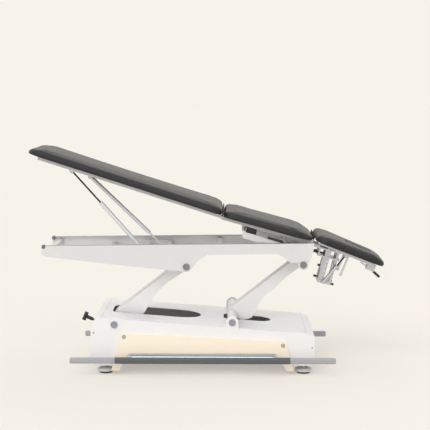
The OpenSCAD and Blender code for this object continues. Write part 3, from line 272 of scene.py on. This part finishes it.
def birch_wood(name):
    """Rotary cut birch: broad pale figure, fine fibres along X and short dark flecks."""
    m = Finish(name)
    figure = m.noise(scale=5.0, rough=0.55, stretch=(1.0, 3.0, 5.0))
    fibre = m.noise(scale=9.0, detail=6.0, rough=0.7, stretch=(2.0, 60.0, 90.0))
    speck = m.noise(scale=60.0, detail=2.0, stretch=(1.0, 8.0, 9.0))
    fleck = m.node("ShaderNodeValToRGB", {"stops": [(0.66, (0, 0, 0)), (0.74, (1, 1, 1))]},
                   {"Fac": speck})
    pale = srgb(255, 249, 237)
    warm = srgb(255, 241, 219)
    fibre_tan = srgb(244, 218, 184)
    fleck_brown = srgb(230, 200, 164)
    colour = m.blend(0.3 * fibre, m.blend(figure, pale, warm), fibre_tan)
    m.set(Base_Color=m.blend(0.45 * fleck, colour, fleck_brown),
          Roughness=0.42 + 0.16 * fibre,
          Coat_Weight=0.15, Coat_Roughness=0.3,
          Normal=m.bump(fibre, distance=0.00012, strength=0.5, normal=m.rounded(0.0012)))
    return m.mat


def soft_cover(name, rgb):
    """Synthetic leather: pebbled grain of two sizes, soft creases, and a colour and gloss that
    vary in patches."""
    m = Finish(name)
    pebble = m.node("ShaderNodeTexVoronoi", {"feature": "DISTANCE_TO_EDGE"},
                    {"Vector": m.place, "Scale": 620.0})
    fine = m.noise(scale=2600.0, detail=2.0)
    crease = m.noise(scale=11.0, detail=4.0, rough=0.6, stretch=(1.0, 1.6, 1.0))
    grain = pebble * 2.2 + fine * 0.25
    creased = m.bump(crease, distance=0.0016, strength=0.35)
    m.set(Base_Color=m.blend(m.noise(scale=18.0), shade(rgb, 0.88), shade(rgb, 1.12)),
          Roughness=0.44 + 0.16 * m.noise(scale=40.0),
          Specular_IOR_Level=0.3, Sheen_Weight=0.06, Sheen_Roughness=0.45,
          Normal=m.bump(grain, distance=0.00022, strength=0.5, normal=creased))
    return m.mat


def lit_strip(name):
    """A frosted diffuser over a row of small lamps: light swells every 17 mm along X."""
    m = Finish(name)
    wave = m.node("ShaderNodeTexWave", {"wave_type": "BANDS", "bands_direction": "X"},
                  {"Vector": m.place, "Scale": 18.5})
    cool = m.blend(wave, srgb(176, 226, 240), srgb(236, 252, 255))
    m.set(Base_Color=srgb(225, 240, 245), Roughness=0.35 + 0.1 * m.noise(scale=200.0),
          Emission_Color=cool, Emission_Strength=0.9)
    return m.mat


def light_channel(name, rgb, lit, highlight_foot):
    """The dark channel of a light strip, whose black is partly its dark finish and partly painted
    shade of the gap it lies in: below one height its lit diffuser shows, and above another a pale
    band, a painted highlight of its lit upper edge."""
    m = Finish(name)
    height = m.along(ground, 2)
    low = height < lit
    body = m.blend(m.noise(scale=60.0), shade(rgb, 0.85), shade(rgb, 1.2))
    # Painted highlight: the pale band above the highlight's foot is the channel's lit upper edge
    body = m.blend(height > highlight_foot, body, srgb(240, 242, 246))
    grain = m.noise(scale=900.0)
    m.set(Base_Color=m.blend(low, body, srgb(232, 246, 252)),
          Roughness=0.4 + 0.2 * m.noise(scale=200.0),
          Emission_Color=m.blend(low, (0, 0, 0), srgb(206, 234, 246)), Emission_Strength=0.75,
          Normal=m.bump(grain, distance=0.00004, strength=0.5, normal=m.rounded(0.0006)))
    return m.mat


def foot_plastic(name, rgb, sole, sole_top):
    """A levelling foot: pale moulded body over a dark sole, changing at one height."""
    m = Finish(name)
    low = m.along(ground, 2) < sole_top
    body = m.blend(m.noise(scale=40.0), shade(rgb, 0.93), shade(rgb, 1.05))
    grain = m.noise(scale=1200.0)
    m.set(Base_Color=m.blend(low, body, sole),
          Roughness=0.45 + 0.25 * low,
          Normal=m.bump(grain, distance=0.00006, strength=0.5, normal=m.rounded(0.0012)))
    return m.mat


def pegged_steel(name, rgb, left, right, below):
    """Satin steel whose pegs are black: what lies left or right of two lines and below one
    height, in the seat section's frame."""
    m = Finish(name)
    x = m.along(seat, 0)
    z = m.along(seat, 2)
    peg = ((x < left) + (x > right)) * (z < below)
    streak = m.noise(scale=4.0, detail=4.0, rough=0.6, stretch=EVEN_BRUSH)
    metal = m.blend(streak, shade(rgb, 0.88), shade(rgb, 1.04))
    m.set(Base_Color=m.blend(peg, metal, srgb(34, 34, 36)),
          Metallic=1.0 - peg,
          Roughness=0.34 + 0.12 * streak + 0.1 * peg,
          Normal=m.bump(streak, distance=0.00003, strength=0.5, normal=m.rounded(0.0007)))
    return m.mat


def rubber_skin(name, rgb):
    """Rubber: dull, with a chalky bloom in patches."""
    m = Finish(name)
    bloom = m.noise(scale=35.0, detail=4.0, rough=0.6)
    grain = m.noise(scale=1500.0)
    m.set(Base_Color=m.blend(bloom, shade(rgb, 0.85), shade(rgb, 1.25)),
          Roughness=0.7 + 0.15 * bloom,
          Normal=m.bump(grain, distance=0.00008, strength=0.5, normal=m.rounded(0.0012)))
    return m.mat


# Heights above the floor where a foot's sole ends, and where a light channel's lit part ends
# and its pale band, a painted highlight, begins
SOLE_TOP = 0.0085
LIT_TOP = 0.0937
HIGHLIGHT_FOOT = 0.0988
# The black pegs stick out left and right of these lines and below this height, in the seat's
# frame; the guide has its pegs on the left alone
POST_LEFT, POST_RIGHT, POST_PEGS = 0.0985, 0.1725, -0.15
GUIDE_LEFT, NO_LINE, GUIDE_PEGS = 0.0923, 9.0, -0.06

white_coat = powder_coat("white_coat", srgb(240, 239, 240), 0.4, 1.03)
# Rails: painted shade darkens their upper edge above the shade line
rail_coat = powder_coat("rail_coat", srgb(220, 220, 221), 0.4, 1.05, rail_shade_line)
grey_coat = powder_coat("grey_coat", srgb(216, 216, 218), 0.42)
tray_coat = powder_coat("tray_coat", srgb(240, 240, 242), 0.45)
bar_coat = powder_coat("bar_coat", srgb(168, 167, 172), 0.36)
screw_grey = powder_coat("screw_grey", srgb(176, 171, 166), 0.4)
black_steel = powder_coat("black_steel", srgb(12, 12, 13), 0.5)
board_paint = powder_coat("board_paint", srgb(40, 40, 42), 0.55)
sleeve_grip = moulded_plastic("sleeve_grip", srgb(88, 90, 95), 0.48)
cap_plastic = moulded_plastic("cap_plastic", srgb(150, 150, 161), 0.36)
shaft_grey = moulded_plastic("shaft_grey", srgb(128, 128, 130), 0.28)
black_plastic = moulded_plastic("black_plastic", srgb(38, 38, 41), 0.45)
drive_plastic = moulded_plastic("drive_plastic", srgb(70, 70, 73), 0.5)
actuator_grey = moulded_plastic("actuator_grey", srgb(158, 159, 163), 0.42)
foot_grey = foot_plastic("foot_grey", srgb(218, 217, 216), srgb(50, 50, 52), SOLE_TOP)
steel = brushed_metal("steel", srgb(214, 214, 217), 0.26)
satin_steel = brushed_metal("satin_steel", srgb(200, 201, 205), 0.36, EVEN_BRUSH)
alloy = brushed_metal("alloy", srgb(226, 227, 231), 0.36, metal=0.3)
post_steel = pegged_steel("post_steel", srgb(192, 193, 197), POST_LEFT, POST_RIGHT, POST_PEGS)
guide_steel = pegged_steel("guide_steel", srgb(196, 197, 200), GUIDE_LEFT, NO_LINE, GUIDE_PEGS)
rubber = rubber_skin("rubber", srgb(112, 112, 113))
# Near-black rubber for the gap strips, painted shade filling the gaps between the pads
gap_shade_rubber = rubber_skin("gap_shade_rubber", srgb(30, 30, 31))
birch = birch_wood("birch")
cover = soft_cover("cover", srgb(40, 41, 43))
strip_light = lit_strip("strip_light")
# The channel's black is partly its dark finish and partly painted shade of the gap under the wood
# arch
channel_black_shade = light_channel("channel_black_shade", srgb(24, 24, 26), LIT_TOP, HIGHLIGHT_FOOT)

finishes = {
    white_coat: ("top_cover", "left_end_cover", "right_end_cover", "side_plates", "left_arm",
                 "right_arm", "seat_lever", "torque_tube"),
    rail_coat: ("rails", "frame_tubes", "strut_carriage"),
    grey_coat: ("seat_frame", "leg_frame", "bar_bearings"),
    tray_coat: ("base_tray", "control_box"),
    bar_coat: ("foot_bar_near", "foot_bar_far"),
    sleeve_grip: ("bar_sleeve_near", "bar_sleeve_far"),
    cap_plastic: ("base_shafts",),
    shaft_grey: ("upper_shafts",),
    black_plastic: ("slider_blocks", "clamp_knob", "lever_grip", "mains_inlet", "lock_handle"),
    channel_black_shade: ("light_channels",),
    drive_plastic: ("seat_drive",),
    actuator_grey: ("actuator_tube", "actuator_motor"),
    steel: ("foot_stems", "hinge_pins", "spring_foot_pin", "spring_head_pin", "stay_foot_pin",
            "stay_head_pin", "actuator_rod", "release_lever"),
    screw_grey: ("panel_screws",),
    satin_steel: ("head_frame", "tilt_stay_tube"),
    post_steel: ("head_posts",),
    guide_steel: ("head_guide",),
    alloy: ("spring_cylinder", "stay_tube", "stay_rod"),
    black_steel: ("spring_rod", "tilt_stay_rod"),
    rubber: ("rail_bumpers",),
    foot_grey: ("foot_pads",),
    birch: ("wood_panels",),
    board_paint: ("seat_board", "leg_board", "head_board"),
    strip_light: ("light_diffusers",),
    cover: ("seat_pad", "leg_pad", "head_pad", "face_plug"),
}
for finish, names in finishes.items():
    for name in names:
        for slot in nodes[name].material_slots:
            slot.material = finish


# Padded pieces: rings of points that follow one outline, from the board to the crown.

# Heights of the board, of the foam over it and of its crown, and how far the edge reaches in
BOARD, FOAM, CROWN, REACH = 0.008, 0.032, 0.004, 0.032


def arc(centre, radius, a0, a1, count):
    """Points of an arc: centre + radius * (cos a, sin a) for even angles."""
    a = np.radians(np.linspace(a0, a1, count))
    return np.asarray(centre) + radius * np.stack([np.cos(a), np.sin(a)], 1)


def side_run(p, q, pull, count):
    """Even points between p and q, drawn towards the middle by 4 t (1 - t) * pull."""
    t = np.linspace(0, 1, count + 2)[1:-1, None]
    return p + t * (q - p) + 4 * t * (1 - t) * np.asarray(pull)


def outline(x0, x1, w0, w1, r0, r1, draw, inset=0.0, turns=15, run=36):
    """A four-cornered plan with round corners, widths w0 and w1 at its ends, moved inwards
    by the inset."""
    x0, x1, w0, w1 = x0 + inset, x1 - inset, w0 - 2 * inset, w1 - 2 * inset
    r0, r1 = r0 - inset, r1 - inset
    taper = math.degrees(math.atan((w0 - w1) / 2 / (x1 - x0)))
    corners = [arc((x1 - r1, w1 / 2 - r1), r1, 0, 90 - taper, turns),
               arc((x0 + r0, w0 / 2 - r0), r0, 90 - taper, 180, turns),
               arc((x0 + r0, r0 - w0 / 2), r0, 180, 270 + taper, turns),
               arc((x1 - r1, r1 - w1 / 2), r1, 270 + taper, 360, turns)]
    pulls = [(0, -draw), (draw, 0), (0, draw), (-draw, 0)]
    parts = []
    for k in range(4):
        count = run if k % 2 == 0 else run // 2
        parts += [corners[k], side_run(corners[k][-1], corners[(k + 1) % 4][0], pulls[k], count)]
    return np.concatenate(parts)


def flat_ring(points, z):
    """Plan points at one height."""
    return np.column_stack([points, np.full(len(points), z)])


def skin(name, rings, closed=False):
    """A mesh over rings of equal length: quads between neighbours, and flat ends unless the
    last ring joins the first."""
    rings = np.asarray(rings)
    count, around = rings.shape[:2]
    ids = np.arange(count * around).reshape(count, around)
    upper = np.roll(ids, -1, axis=0) if closed else ids[1:]
    lower = ids if closed else ids[:-1]
    quads = np.stack([lower, np.roll(lower, -1, axis=1), np.roll(upper, -1, axis=1), upper], -1)
    faces = quads.reshape(-1, 4).tolist()
    if not closed:
        faces += [ids[0][::-1].tolist(), ids[-1].tolist()]
    mesh = bpy.data.meshes.new(name)
    mesh.from_pydata(rings.reshape(-1, 3).tolist(), [], faces)
    mesh.shade_smooth()
    made = bpy.data.objects.new(name, mesh)
    bpy.context.scene.collection.objects.link(made)
    return made


def droop_share(x, droop):
    """What is left of a pad's height at x: 1 less a share that grows with the square of the
    way from the droop's start to its end."""
    start, end, share = droop
    return 1 - share * np.clip((x - start) / (end - start), 0, 1) ** 2


# The cover's hem round the board, from inside to outside: inset and height
HEM = [(0.0039, -0.0001), (0.0039, -0.0070), (0.0030, -0.0079), (0.0014, -0.0078),
       (0.0003, -0.0066), (0.0, -0.0040)]
NO_HEM = [(0.0006, 0.0)]
# Shares of the way from the pad's edge to its middle at which the crown has a ring
CROWN_STEPS = (0.04, 0.1, 0.18, 0.28, 0.4, 0.54, 0.7, 0.86, 0.97)
# How far outside the face opening the crown ends and the opening's lip begins
LIP_REACH = 0.0096
# Share of a pad's height that its rounded edge takes, and how full that edge is
EDGE_SHARE, EDGE_FULLNESS = 0.66, 0.9


def pad_profile(height, reach):
    """Side of the pad, inset and height: a third straight up, then over the edge a quarter of
    an ellipse, made a little fuller by a power of its sine."""
    a = np.radians(np.linspace(0, 90, 17))
    rise = EDGE_SHARE * height
    side = [(0.0, t * (height - rise)) for t in (0.0, 0.5)]
    top = zip(reach * (1 - np.cos(a)), height - rise + rise * np.sin(a) ** EDGE_FULLNESS)
    return side + list(top)


def pad_rings(shape, height, crown, reach, droop, opening=None, hem=True):
    """Rings of a pad in its section's plane: hem, side, edge, then the crown, which rises as
    1 - (1 - t)^2 towards the middle line or towards the opening, and the opening's wall with
    its rounded lip. Heights above the board fall by the droop."""
    profile = (HEM if hem else NO_HEM) + pad_profile(height, reach)
    rings = [flat_ring(outline(*shape, inset=i), z) for i, z in profile]
    top = outline(*shape, inset=profile[-1][0])
    if opening is None:
        left, right = shape[0] + shape[2] / 2, shape[1] - shape[3] / 2
        goal = np.column_stack([np.clip(top[:, 0], left, right), np.zeros(len(top))])
        if left > right:
            goal[:, 0] = (shape[0] + shape[1]) / 2
    else:
        goal = outline(*opening, inset=-LIP_REACH)
    for t in CROWN_STEPS:
        rings.append(flat_ring(top + t * (goal - top), height + crown * (1 - (1 - t) ** 2)))
    if opening is not None:
        wall = [(0.0078, height + crown), (0.005, height + crown - 0.0012), (0.0022, height),
                (0.0006, height * 0.9), (0.0, height * 0.8), (0.0, height * 0.5), (0.0, 0.0)]
        rings += [flat_ring(outline(*opening, inset=-out), z) for out, z in wall]
    for ring in rings:
        ring[:, 2] *= np.where(ring[:, 2] > 0, droop_share(ring[:, 0], droop), 1)
    return rings


# Filling a pad: the cloth's pressure, its frames, and the height below which it is held
PRESSURE, FRAMES, HELD_BELOW = 4.0, 20, 0.004
# A pad starts this much smaller on each side, because it swells
SLACK = 0.002


def swelled(obj, voxel, cap):
    """Fills a pad: its mesh is remeshed evenly, blown up as cloth round a pressure with its
    underside held, and no point moves further than the cap. One subdivision follows."""
    scene = bpy.context.scene
    made = bpy.context.evaluated_depsgraph_get
    obj.modifiers.new("even", "REMESH").voxel_size = voxel
    even = bpy.data.meshes.new_from_object(obj.evaluated_get(made()))
    obj.modifiers.clear()
    obj.data = even
    before = np.empty(len(even.vertices) * 3)
    even.vertices.foreach_get("co", before)
    before = before.reshape(-1, 3)
    held = obj.vertex_groups.new(name="held")
    held.add(np.flatnonzero(before[:, 2] < HELD_BELOW).tolist(), 1.0, "REPLACE")
    cloth = obj.modifiers.new("cover", "CLOTH")
    cloth.settings.vertex_group_mass = "held"
    cloth.settings.use_pressure = True
    cloth.settings.uniform_pressure_force = PRESSURE
    cloth.settings.effector_weights.gravity = 0.0
    cloth.settings.quality = 4
    cloth.point_cache.frame_start = 1
    cloth.point_cache.frame_end = FRAMES
    for frame_number in range(1, FRAMES + 1):
        scene.frame_set(frame_number)
    after = np.empty(len(before) * 3)
    obj.evaluated_get(made()).data.vertices.foreach_get("co", after)
    move = after.reshape(-1, 3) - before
    far = np.linalg.norm(move, axis=1, keepdims=True)
    move *= cap / np.maximum(far, cap)
    even.vertices.foreach_set("co", (before + move).ravel())
    obj.modifiers.clear()
    obj.vertex_groups.clear()
    scene.frame_set(1)
    calm = obj.modifiers.new("calm", "SMOOTH")
    calm.factor = 0.5
    calm.iterations = 4
    fine = obj.modifiers.new("fine", "SUBSURF")
    fine.levels = fine.render_levels = 1
    obj.data = bpy.data.meshes.new_from_object(obj.evaluated_get(made()))
    obj.modifiers.clear()


# A seam's place on the side of a pad, its cord's radius, and how much that changes at a stitch
SEAM_HEIGHT, SEAM_INSET = 0.0015, 0.0006
SEAM_RADIUS, STITCH = 0.0009, 0.0002


def stitched_seam(name, shape, droop, section, under, body):
    """A sewn seam along the pad's side: a cord whose centre follows the outline at one
    height, less the droop. Its radius swings by a cosine, one stitch to four points."""
    path = outline(*shape, inset=SEAM_INSET, turns=24, run=90)
    height = SEAM_HEIGHT * droop_share(path[:, 0], droop) + (under + BOARD)
    place = section.world(np.column_stack([path, height]))
    ahead = np.roll(place, -1, axis=0) - np.roll(place, 1, axis=0)
    ahead /= np.linalg.norm(ahead, axis=1)[:, None]
    up = section.turn[:, 2]
    side = np.cross(ahead, up)
    a = np.radians(np.arange(0, 360, 60))[:, None, None]
    thick = SEAM_RADIUS + STITCH * np.cos(np.arange(len(path)) * math.pi / 2)[:, None]
    seam = skin(name, place + thick * (np.cos(a) * side + np.sin(a) * up), closed=True)
    seam.data.materials.append(cover)
    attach(seam, body)


# Plans of the pads and of the face opening: their ends along the section, the widths there,
# the corner radii there, and how far the sides are drawn in
LEG = (-1.064, -0.004, 0.500, 0.500, 0.080, 0.060, 0.0025)
SEAT = (-0.480, 0.010, 0.500, 0.500, 0.060, 0.115, 0.0025)
HEAD = (-0.096, 0.302, 0.440, 0.320, 0.060, 0.090, 0.0025)
HOLE = (0.074, 0.216, 0.106, 0.106, 0.0477, 0.0477, 0.0)
PLUG = (0.0755, 0.2145, 0.103, 0.103, 0.0464, 0.0464, 0.0)
# Where a pad starts to fall, its end, and the share of its height that it loses there
LEG_DROOP = (-0.979, -1.064, 0.36)
SEAT_DROOP = (-0.105, 0.010, 0.45)
HEAD_DROOP = (0.212, 0.302, 0.40)
LEVEL = (0.3, 0.4, 0.0)
# Tops of the section frames, on which the boards lie
LEG_UNDER, SEAT_UNDER, HEAD_UNDER = 0.016, 0.035, 0.008


def make_pad(name, shape, section, under, body, node, droop, opening=None, height=FOAM,
             crown=CROWN, reach=REACH, hem=True, lift=0.0, voxel=0.0, cap=0.0035):
    """A covered pad: its rings, filled by simulation in its section's plane, then placed."""
    if voxel:
        shape = (shape[0] + SLACK, shape[1] - SLACK, shape[2] - 2 * SLACK, shape[3] - 2 * SLACK,
                 shape[4] - SLACK, shape[5] - SLACK, shape[6])
    pad = skin(name, pad_rings(shape, height, crown, reach, droop, opening, hem),
               closed=opening is not None)
    if voxel:
        swelled(pad, voxel, cap)
    place = np.empty(len(pad.data.vertices) * 3)
    pad.data.vertices.foreach_get("co", place)
    place = section.world(place.reshape(-1, 3) + (0, 0, under + BOARD + lift))
    pad.data.vertices.foreach_set("co", place.ravel())
    pad.data.shade_smooth()
    pad.data.materials.clear()
    pad.data.materials.append(cover)
    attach(pad, body)
    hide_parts(node)


make_pad("leg_cushion", LEG, leg, LEG_UNDER, "leg", "leg_pad", LEG_DROOP, voxel=0.007)
make_pad("seat_cushion", SEAT, seat, SEAT_UNDER, "seat", "seat_pad", SEAT_DROOP, voxel=0.006)
make_pad("head_cushion", HEAD, head, HEAD_UNDER, "head", "head_pad", HEAD_DROOP, opening=HOLE,
         voxel=0.005, cap=0.0025)
make_pad("face_cushion", PLUG, head, HEAD_UNDER, "face_plug", "face_plug", LEVEL,
         height=0.0385, crown=0.0025, reach=0.016, hem=False, lift=0.0004)

stitched_seam("leg_seam", LEG, LEG_DROOP, leg, LEG_UNDER, "leg")
stitched_seam("seat_seam", SEAT, SEAT_DROOP, seat, SEAT_UNDER, "seat")
stitched_seam("head_seam", HEAD, HEAD_DROOP, head, HEAD_UNDER, "head")


# Dark rubber strips in the gaps between the pads, standing in as painted shade there, and their
# corner radius
STRIP_ROUND = 0.0016


def gap_strip(name, x, z, half_width):
    """A dark rubber strip on the seat section, painted shade for the gap between pads: a
    rectangle with round corners in the section's XZ plane, between two places along X and two
    heights, drawn out along Y."""
    (x0, x1), (z0, z1), r = x, z, STRIP_ROUND
    middles = [(x0 + r, z0 + r), (x1 - r, z0 + r), (x1 - r, z1 - r), (x0 + r, z1 - r)]
    plan = np.concatenate([arc(middle, r, 90 * k + 180, 90 * k + 270, 6)
                           for k, middle in enumerate(middles)])
    rings = [np.column_stack([plan[:, 0], np.full(len(plan), y), plan[:, 1]])
             for y in np.linspace(-half_width, half_width, 9)]
    strip = skin(name, [seat.world(ring[::-1]) for ring in rings])
    strip.data.materials.append(gap_shade_rubber)
    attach(strip, "seat")


gap_strip("leg_gap_strip", (-0.4866, -0.4818), (0.036, 0.064), 0.236)
gap_strip("head_gap_strip", (0.0106, 0.0152), (0.036, 0.060), 0.150)


# Lock handle: its stem comes out of the middle of the left bevel, square to it
BEVEL_RUN, BEVEL_RISE = 0.024, 0.054
BEVEL_TILT = math.degrees(math.atan2(BEVEL_RUN, BEVEL_RISE))
LOCK = Section((-0.594, -0.215, 0.266), 270 + BEVEL_TILT)
# Shares of the sleeve's radius: what its very ends have, and what the rounding adds to them
SLEEVE_END, SLEEVE_ROUND = 0.72, 0.28


def stem_sleeve(name, start, end, radius, waist):
    """A moulded sleeve round the stem, turned about the lock's axis: its radius shrinks by
    4 t (1 - t) of the waist, and rounds off by a quarter circle over its last sixteenths."""
    t = np.linspace(0, 1, 15)
    round_off = np.sqrt(1 - np.clip(np.abs(2 * t - 1) * 8 - 7, 0, 1) ** 2)
    radii = radius * (SLEEVE_END + SLEEVE_ROUND * round_off) - 4 * t * (1 - t) * waist
    a = np.radians(np.arange(0, 360, 15))
    rings = [np.column_stack([r * np.cos(a), r * np.sin(a), np.full(len(a), z)])
             for r, z in zip(radii, start + t * (end - start))]
    sleeve = skin(name, [LOCK.world(ring) for ring in rings])
    sleeve.data.materials.append(black_plastic)
    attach(sleeve, "lock_handle")


stem_sleeve("lock_sleeve", 0.010, 0.044, 0.0105, 0.0015)


# Stage: floor, world, lamps and camera

BACKDROP = srgb(247, 243, 234)
# Level and tint of the even light from all round
SKY = 0.58
SKY_TINT = (1.0, 0.995, 0.985)
# Distant soft lamps: azimuth (0 in front), height and width in degrees, and strength
LAMPS = {"key_lamp": (-32, 42, 40, 0.98), "top_lamp": (150, 78, 60, 0.4),
         "front_lamp": (8, 24, 60, 0.46), "back_lamp": (172, 32, 60, 0.38)}
# Light that reaches the open floor, so that its lit part shows the backdrop's colour: the
# sky's level, and for each lamp its strength times the sine of its height, over pi
LAMP_LIGHT = sum(power * math.sin(math.radians(up)) for _, up, _, power in LAMPS.values())
FLOOR_LIGHT = SKY + LAMP_LIGHT / math.pi
# Share of the backdrop's own colour in the floor that is seen
FLOOR_GLOW = 0.4
# Corners of the floor in metres: wide, and deep behind the table
FLOOR = [(-40, -12, 0), (40, -12, 0), (40, 90, 0), (-40, 90, 0)]


def backdrop_floor():
    """A wide plane. The camera sees two fifths of it as plain colour and the rest as lit, so
    that it keeps the object's shadow."""
    mesh = bpy.data.meshes.new("floor")
    mesh.from_pydata(FLOOR, [], [(0, 1, 2, 3)])
    floor = bpy.data.objects.new("floor", mesh)
    bpy.context.scene.collection.objects.link(floor)
    m = Finish("floor_paper")
    m.set(Base_Color=shade(BACKDROP, 1 / FLOOR_LIGHT), Roughness=0.95, Specular_IOR_Level=0.0)
    glow = m.node("ShaderNodeEmission", sockets={"Color": BACKDROP, "Strength": 1.0})
    m.put(m.out.inputs[0], m.mixed(FLOOR_GLOW * m.seen(), m.shader, glow))
    mesh.materials.append(m.mat)


def plain_world():
    """Even light from all round; the camera and reflections see the backdrop's colour."""
    world = bpy.data.worlds.new("studio")
    bpy.context.scene.world = world
    world.use_nodes = True
    w = Nodes(world.node_tree, "ShaderNodeOutputWorld")
    light = w.node("ShaderNodeBackground", sockets={"Color": SKY_TINT, "Strength": SKY})
    shown = w.node("ShaderNodeBackground", sockets={"Color": BACKDROP})
    w.put(w.out.inputs[0], w.mixed(w.seen(), light, shown))


def far_lamp(name, azimuth, height, width, strength):
    """A lamp as far as the sun, as wide in the sky as its width in degrees."""
    data = bpy.data.lights.new(name, "SUN")
    data.energy = strength
    data.angle = math.radians(width)
    lamp = bpy.data.objects.new(name, data)
    bpy.context.scene.collection.objects.link(lamp)
    lamp.rotation_euler = (math.radians(90 - height), 0, math.radians(azimuth))


backdrop_floor()
plain_world()
for name, lamp in LAMPS.items():
    far_lamp(name, *lamp)

# Camera, fitted to the photograph: it looks down a little and slightly to the left
LOOK_DOWN, LOOK_LEFT = 0.1007, 0.0120
lens = bpy.data.cameras.new("view")
lens.lens = 110.9
lens.sensor_width = 36.0
lens.clip_end = 200.0
eye = bpy.data.objects.new("view", lens)
bpy.context.scene.collection.objects.link(eye)
eye.location = (0.118, -7.054, 1.510)
eye.rotation_euler = (math.pi / 2 - LOOK_DOWN, 0, LOOK_LEFT)
bpy.context.scene.camera = eye
bpy.context.scene.view_settings.view_transform = "Standard"
